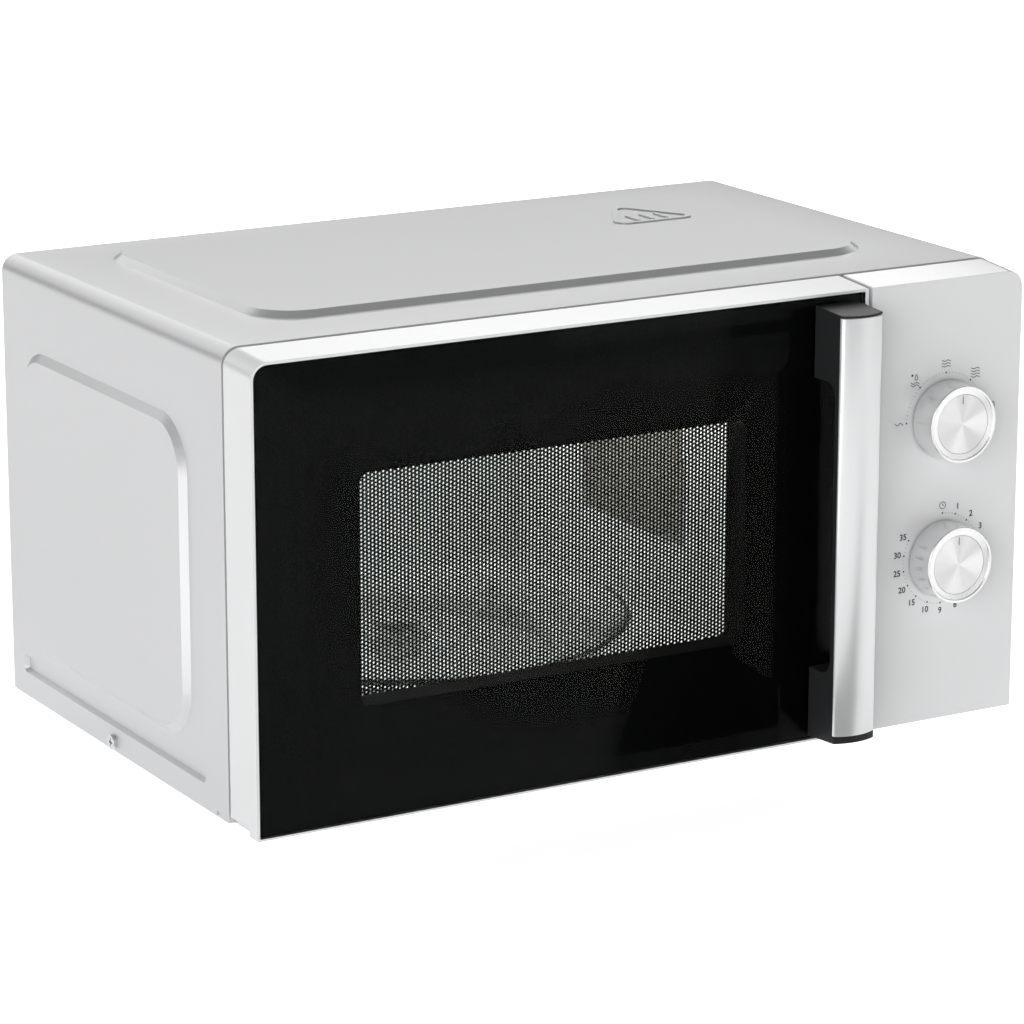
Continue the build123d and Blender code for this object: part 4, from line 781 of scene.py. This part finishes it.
@dataclass
class Dial:
    """One knob with its spun disc and the marks round it on the panel."""

    name: str
    body: str
    dots: tuple[float, ...]
    small_dots: tuple[float, ...]
    numbers: dict[float, str]
    icons: dict[float, Icon]
    dot_ring: float = 24.4 * MM
    label_ring: float = 28.6 * MM
    dot: float = 0.5 * MM
    small_dot: float = 0.2 * MM
    number_height: float = 3.2 * MM
    mark: float = 0.06 * MM
    rim: float = 20.4 * MM
    lip: float = 0.5 * MM
    rim_land: float = 0.2 * MM
    disc_gap: float = 0.05 * MM
    bore: float = 3.05 * MM
    draft: float = 0.25 * MM
    foot_step: float = 0.6 * MM
    hollow_draft: float = 0.4 * MM

    def build(self) -> None:
        """Makes the knob, its disc and its marks."""
        low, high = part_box(f"{self.name}_knob")
        self.x, self.z = (low.x + high.x) / 2, (low.z + high.z) / 2
        self.knob(low, high)
        self.disc()
        self.marks()

    def knob(self, low: Vector, high: Vector) -> None:
        """The knob's turned shell: a straight side, a rounded rim, a cone down to the disc, a bore behind."""
        foot, face = high.y, low.y
        base = (high.x - low.x) / 2
        disc_front, disc_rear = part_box(f"{self.name}_knob_disc")
        disc_low = disc_rear.y
        dish = (disc_rear.x - disc_front.x) / 2 + self.disc_gap
        lip = self.lip
        t = np.linspace(0.0, math.pi / 2, 6)
        rim = np.stack([self.rim - lip + lip * np.cos(t), face + lip - lip * np.sin(t)], -1)
        inner = self.rim - 2 * lip - self.rim_land
        inner_rim = np.stack([inner - lip * np.sin(t), face + lip - lip * np.cos(t)], -1)
        hollow, boss, wall = 17.6 * MM, 7.0 * MM, 2.6 * MM
        bore, gap, draft = self.bore, self.disc_gap, self.draft
        seat = [[bore, disc_low], [dish, disc_low], [dish + gap, disc_front.y - gap]]
        behind = [[base - draft, foot - self.foot_step], [base - 2 * draft, foot],
                  [hollow + self.hollow_draft, foot], [hollow, disc_low + wall], [boss, disc_low + wall],
                  [boss, foot], [bore, foot]]
        profile = np.vstack([seat, inner_rim[::-1], rim[::-1], behind])
        piece = ring_surface(f"{self.name}_dial_knob", turned(profile, self.x, self.z), Ends.LOOPED)
        shade_smooth(piece, 35.0)
        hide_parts(f"{self.name}_knob")
        settle(piece, self.body, "knob_silver")

    def disc(self) -> None:
        """The spun disc: flat rings with a shallow dish, and a raised index line near its upper edge."""
        low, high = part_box(f"{self.name}_knob_disc")
        radius = (high.x - low.x) / 2
        r = radius * np.linspace(1.0, 0.02, 24)
        y = low.y + 0.25 * MM * (1.0 - (r / radius) ** 2)
        edge = np.array([[radius, high.y], [radius, low.y + 0.2 * MM]])
        profile = np.vstack([edge, np.stack([r * 0.992, y], -1)])
        piece = ring_surface(f"{self.name}_spun_disc", turned(profile, self.x, self.z))
        shade_smooth(piece, 35.0)
        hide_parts(f"{self.name}_knob_disc")
        settle(piece, self.body, "spun_aluminium", (self.x, low.y, self.z))
        wide, long = 0.32 * MM, 4.4 * MM
        line = rounded_outline((self.x - wide, self.z + radius - long - 0.8 * MM),
                               (self.x + wide, self.z + radius - 0.8 * MM), (0.3 * MM,) * 4, 5)
        rings = np.array([upright(line, low.y + 0.2 * MM), upright(line, low.y - 0.05 * MM)])
        settle(ring_surface(f"{self.name}_index_line", rings), self.body, "index_grey")

    def place(self, angle: float, radius: float) -> tuple[float, float]:
        """The point at an angle in degrees, clockwise from the top, and a distance from the dial's middle."""
        turn = math.radians(angle)
        return self.x + radius * math.sin(turn), self.z + radius * math.cos(turn)

    def marks(self) -> None:
        """The printed dots, numbers and icons, as thin pieces on the panel."""
        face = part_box("control_panel")[0].y
        parts: list[tuple[np.ndarray, list[list[int]]]] = []
        circle = np.linspace(0.0, 2 * math.pi, 16, endpoint=False)
        sizes = [(angle, self.dot) for angle in self.dots]
        for angle, size in sizes + [(angle, self.small_dot) for angle in self.small_dots]:
            x, z = self.place(angle, self.dot_ring)
            outline = np.stack([x + size * np.cos(circle), z + size * np.sin(circle)], -1)
            parts.append(flat_plate(outline, face, self.mark))
        for angle, words in self.numbers.items():
            x, z = self.place(angle, self.label_ring)
            points, faces = text_mesh("number", words, self.number_height)
            parts.append((points + np.array([x, face - self.mark / 2, z]), faces))
        for angle, icon in self.icons.items():
            x, z = self.place(angle, self.label_ring + (0.6 * MM if icon is not Icon.CLOCK else 0.0))
            for stroke in strokes(icon):
                parts.append(flat_plate(stroke + np.array([x, z]), face, self.mark))
        offset, points, faces = 0, [], []
        for some, loops in parts:
            points.append(some)
            faces += [[vertex + offset for vertex in loop] for loop in loops]
            offset += len(some)
        piece = make_object(f"{self.name}_dial_marks", np.vstack(points), faces)
        settle(piece, "housing", "mark_grey")


def flat_plate(outline: np.ndarray, y: float, thickness: float) -> tuple[np.ndarray, list[list[int]]]:
    """A thin upright plate with a given outline, standing off a face towards -Y."""
    count = len(outline)
    near, far = upright(outline, y - thickness), upright(outline, y + thickness)
    ring = np.arange(count)
    side = np.stack([ring, np.roll(ring, -1), np.roll(ring, -1) + count, ring + count], -1).tolist()
    return np.vstack([near, far]), side + [ring[::-1].tolist(), (ring + count).tolist()]


def ribbon(line: np.ndarray, width: float) -> np.ndarray:
    """The outline of a widened line of x and z: each point moves half the width along its own normal."""
    along = np.gradient(line, axis=0)
    along /= np.linalg.norm(along, axis=1, keepdims=True)
    across = np.stack([-along[:, 1], along[:, 0]], -1) * width / 2
    return np.vstack([line + across, (line - across)[::-1]])


def wave(length: float, height: float, x: float, z: float) -> np.ndarray:
    """A lying wave: z is the sine of one and a half turns along x."""
    t = np.linspace(-0.5, 0.5, 22)
    return ribbon(np.stack([x + length * t, z + height * np.sin(t * 3 * math.pi)], -1), 0.36 * MM)


def strokes(icon: Icon) -> list[np.ndarray]:
    """The outlines of an icon's strokes, about its middle."""
    circle = np.linspace(0.0, 2 * math.pi, 25)
    loop = np.stack([1.05 * MM * np.sin(circle) * np.sin(circle / 2), 1.6 * MM * np.cos(circle)], -1)
    drop = ribbon(loop[1:-1], 0.36 * MM)
    if icon is Icon.TILDE:
        return [wave(5.4 * MM, 0.6 * MM, 0.0, 0.0)]
    if icon is Icon.CLOCK:
        ring = ribbon(1.9 * MM * np.stack([np.cos(circle), np.sin(circle)], -1), 0.36 * MM)
        hands = [ribbon(np.array([[0.0, 0.0], [0.0, 1.2 * MM]]), 0.34 * MM),
                 ribbon(np.array([[0.0, 0.0], [0.9 * MM, 0.0]]), 0.34 * MM)]
        return [ring, *hands]
    if icon is Icon.DEFROST:
        star = []
        for turn in np.arange(3) * math.pi / 3:
            reach = 0.75 * MM * np.array([math.cos(turn), math.sin(turn)])
            star.append(ribbon(np.array([-reach, reach]) + np.array([-1.9 * MM, 3.4 * MM]), 0.36 * MM))
        return star + [drop + np.array([0.7 * MM, 2.3 * MM]), wave(5.4 * MM, 0.45 * MM, 0.0, -0.9 * MM),
                       wave(5.4 * MM, 0.45 * MM, 0.0, -2.2 * MM)]
    count = {Icon.THREE_WAVES: 3, Icon.FOUR_WAVES: 4, Icon.WAVES_DROP: 3}[icon]
    left = -2.0 * MM if icon is Icon.WAVES_DROP else 0.0
    long = 3.6 * MM if icon is Icon.WAVES_DROP else 5.6 * MM
    waves = [wave(long, 0.3 * MM, left, (row - (count - 1) / 2) * 1.5 * MM) for row in range(count)]
    return waves + ([drop + np.array([1.9 * MM, 0.0])] if icon is Icon.WAVES_DROP else [])


@dataclass
class Controls:
    """The control panel and its two dials."""

    def build(self) -> None:
        """Makes the panel and the dials."""
        settle(softened("control_panel", "panel_front", 0.55 * MM, 30.0, 3), "housing",
               "white_plastic")
        places = (-90.0, -42.0, 0.0, 40.0, 82.0)
        fine = tuple(-90.0 + 5.0 * number for number in range(40))
        power = Dial("power", "power_control", places, fine, {}, dict(zip(places, Icon)))
        words = [str(minute) for minute in (*range(1, 11), 15, 20, 25, 30, 35)]
        minutes = {20.0 * (number + 1): word for number, word in enumerate(words)}
        ticks = tuple(5.0 * number for number in range(61))
        timer = Dial("timer", "timer_control", (0.0, *minutes), ticks, minutes, {0.0: Icon.CLOCK})
        for dial in (power, timer):
            dial.build()


# ---------------------------------------------------------------------------------------------- inside
class Inside:
    """Every CAD node that keeps its own shape."""

    def build(self) -> None:
        """Gives each node that no new piece stands for the finish of its slot in the record."""
        slots = {entry["node"]: entry["material_slot"] for entry in frame["record"]["subparts"]}
        for name, node in frame["nodes"].items():
            if node.hide_render:
                continue
            SHOP.dress(node, SLOT_FINISH.get(slots[name], slots[name]))
            LOG.info("%s keeps its shape in %s", name, slots[name])


# ---------------------------------------------------------------------------------------------- studio
@dataclass
class Studio:
    """Floor, lights and camera."""

    camera_at: tuple[float, float, float] = (-1.0775, -1.86835, 0.6833)
    azimuth: float = 29.94
    elevation: float = 14.71
    lens: float = 147.24
    sensor: float = 36.0
    ambient: float = 0.12
    flag_shares: tuple[float, ...] = (0.817, 0.573, 0.87, 0.917)
    flag_over: float = 5.0 * MM
    flag_level: float = 2.0 * MM

    def build(self) -> None:
        """Sets the scene up."""
        self.camera()
        self.world()
        self.floor()
        self.lights()
        self.flag()
        self.glow_card()

    def camera(self) -> None:
        """The camera, turned by its azimuth from +Y and its elevation below the horizon."""
        data = bpy.data.cameras.new("camera")
        data.lens = self.lens
        data.sensor_width = self.sensor
        data.clip_end = 60.0
        camera = in_scene("camera", data)
        camera.location = self.camera_at
        camera.rotation_euler = (math.radians(90.0 - self.elevation), 0.0, math.radians(-self.azimuth))
        bpy.context.scene.camera = camera

    def world(self) -> None:
        """A plain world, white behind the object and softer as a light."""
        world = bpy.data.worlds.new("studio")
        world.use_nodes = True
        nodes, links = world.node_tree.nodes, world.node_tree.links
        background = nodes["Background"]
        path = nodes.new("ShaderNodeLightPath")
        strength = nodes.new("ShaderNodeMapRange")
        strength.inputs["To Min"].default_value = self.ambient
        strength.inputs["To Max"].default_value = 1.0
        links.new(path.outputs["Is Camera Ray"], strength.inputs["Value"])
        links.new(strength.outputs["Result"], background.inputs["Strength"])
        background.inputs["Color"].default_value = (1.0, 1.0, 1.0, 1.0)
        bpy.context.scene.world = world
        bpy.context.scene.view_settings.view_transform = "Standard"

    def floor(self) -> None:
        """A wide pale floor that glows a little, so that it stays white."""
        half = 12.0
        mesh = bpy.data.meshes.new("floor")
        mesh.from_pydata([(-half, -half, 0.0), (half, -half, 0.0), (half, half, 0.0), (-half, half, 0.0)], [],
                         [[0, 1, 2, 3]])
        floor = in_scene("floor", mesh)
        pale = Finish((0.92, 0.92, 0.92), 0.9, grain=0.2, depth=0.0, variation=0.005, specular=0.0)
        mesh.materials.append(self.glowing(pale, "floor_white", 0.74))

    def light(self, name: str, place: tuple[float, float, float], target: tuple[float, float, float],
              size: tuple[float, float], power: float) -> bpy.types.Object:
        """A rectangular soft light.

        Args:
            name: the light's name.
            place: its middle.
            target: what it faces.
            size: its width and height.
            power: its power in watts.

        Returns:
            The light.
        """
        data = bpy.data.lights.new(name, "AREA")
        data.shape = "RECTANGLE"
        data.size, data.size_y = size
        data.energy = power
        lamp = in_scene(name, data)
        lamp.location = place
        lamp.rotation_euler = (Vector(target) - Vector(place)).to_track_quat("-Z", "Y").to_euler()
        lamp.visible_camera = False
        return lamp

    def lights(self) -> None:
        """A tall wall and a strip behind that catch the sloping tops, a key and a fill in front, and a light
        inside the cavity."""
        middle = (0.0, 0.0, 0.13)
        self.light("wall_behind", self.toward(12.0, 40.0, 3.0), middle, (6.0, 1.9), 68.0)
        self.light("strip_behind", self.toward(self.azimuth, 26.0, 2.8), middle, (3.6, 0.6), 11.0)
        self.light("key_left", (-2.4, -2.2, 0.95), middle, (2.2, 1.7), 56.0)
        self.light("fill_right", (2.3, -2.6, 1.1), middle, (1.8, 1.8), 14.0)
        low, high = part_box("oven_cavity")
        centre = ((low.x + high.x) / 2, (low.y + high.y) / 2, high.z - 8.0 * MM)
        self.light("cavity_glow", centre, (centre[0], centre[1], low.z), (0.26, 0.22), 0.95)

    def toward(self, azimuth: float, elevation: float, reach: float) -> tuple[float, float, float]:
        """The place at an azimuth from +Y, an elevation and a distance, in degrees and metres."""
        turn, rise = math.radians(azimuth), math.radians(elevation)
        flat = reach * math.cos(rise)
        return flat * math.sin(turn), flat * math.cos(turn), reach * math.sin(rise)

    def card(self, name: str, corners: list[list[float]], finish: Finish, finish_name: str, glow: float,
             through: bool) -> None:
        """A flat card over the floor that neither the camera nor diffuse light sees.

        Args:
            name: the card's name.
            corners: its four corners.
            finish: its finish.
            finish_name: the name of its material.
            glow: strength of its own light.
            through: whether it is seen by light that has passed through a pane.
        """
        mesh = bpy.data.meshes.new(name)
        mesh.from_pydata(corners, [], [[0, 1, 2, 3]])
        card = in_scene(name, mesh)
        mesh.materials.append(self.glowing(finish, finish_name, glow))
        card.visible_camera = False
        card.visible_diffuse = False
        card.visible_shadow = False
        card.visible_transmission = through

    def glowing(self, finish: Finish, name: str, strength: float) -> bpy.types.Material:
        """A finish's material that also gives white light of its own, if the strength is above 0."""
        material = finish.material(name)
        if strength:
            shader = material.node_tree.nodes["Principled BSDF"]
            shader.inputs["Emission Color"].default_value = (1.0, 1.0, 1.0, 1.0)
            shader.inputs["Emission Strength"].default_value = strength
        return material

    def glow_card(self) -> None:
        """A bright card at the left, which lights the front slope of the side's pressing."""
        (left, right), (near, far) = (-1.5, -0.42), (-0.5, 0.13)
        level = self.flag_level / 2
        corners = [[left, near, level], [right, near, level], [right, far, level], [left, far, level]]
        white = Finish((0.9, 0.9, 0.9), 0.9, depth=0.0, variation=0.005)
        self.card("glow_card", corners, white, "glow_white", 3.0, False)

    def flag(self) -> None:
        """A black card that the right part of the door's glass mirrors.

        Rays from the camera's mirror image behind the glass, through the corners of the part that is to look
        dark, are carried on to the card's level; the card's corners are the places where they meet it.
        """
        low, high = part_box("door_glass")
        mirrored = np.array([self.camera_at[0], 2 * low.y - self.camera_at[1], self.camera_at[2]])
        heights = (high.z + self.flag_over, low.z, low.z, high.z + self.flag_over)
        corners = []
        for share, z in zip(self.flag_shares, heights):
            ray = np.array([low.x + share * (high.x - low.x), low.y, z]) - mirrored
            corners.append((mirrored + ray * (self.flag_level - mirrored[2]) / ray[2]).tolist())
        black = Finish((0.002, 0.002, 0.002), 1.0, specular=0.0, depth=0.0, variation=0.1)
        self.card("flag_card", corners, black, "flag_black", 0.0, True)


def main() -> None:
    """Builds the oven piece by piece, then the studio round it."""
    logging.basicConfig(level=logging.INFO, format="%(name)s: %(message)s")
    Studio().build()
    for part in (Casing(), Door(), Controls(), Inside()):
        part.build()


if __name__ == "__main__":
    main()
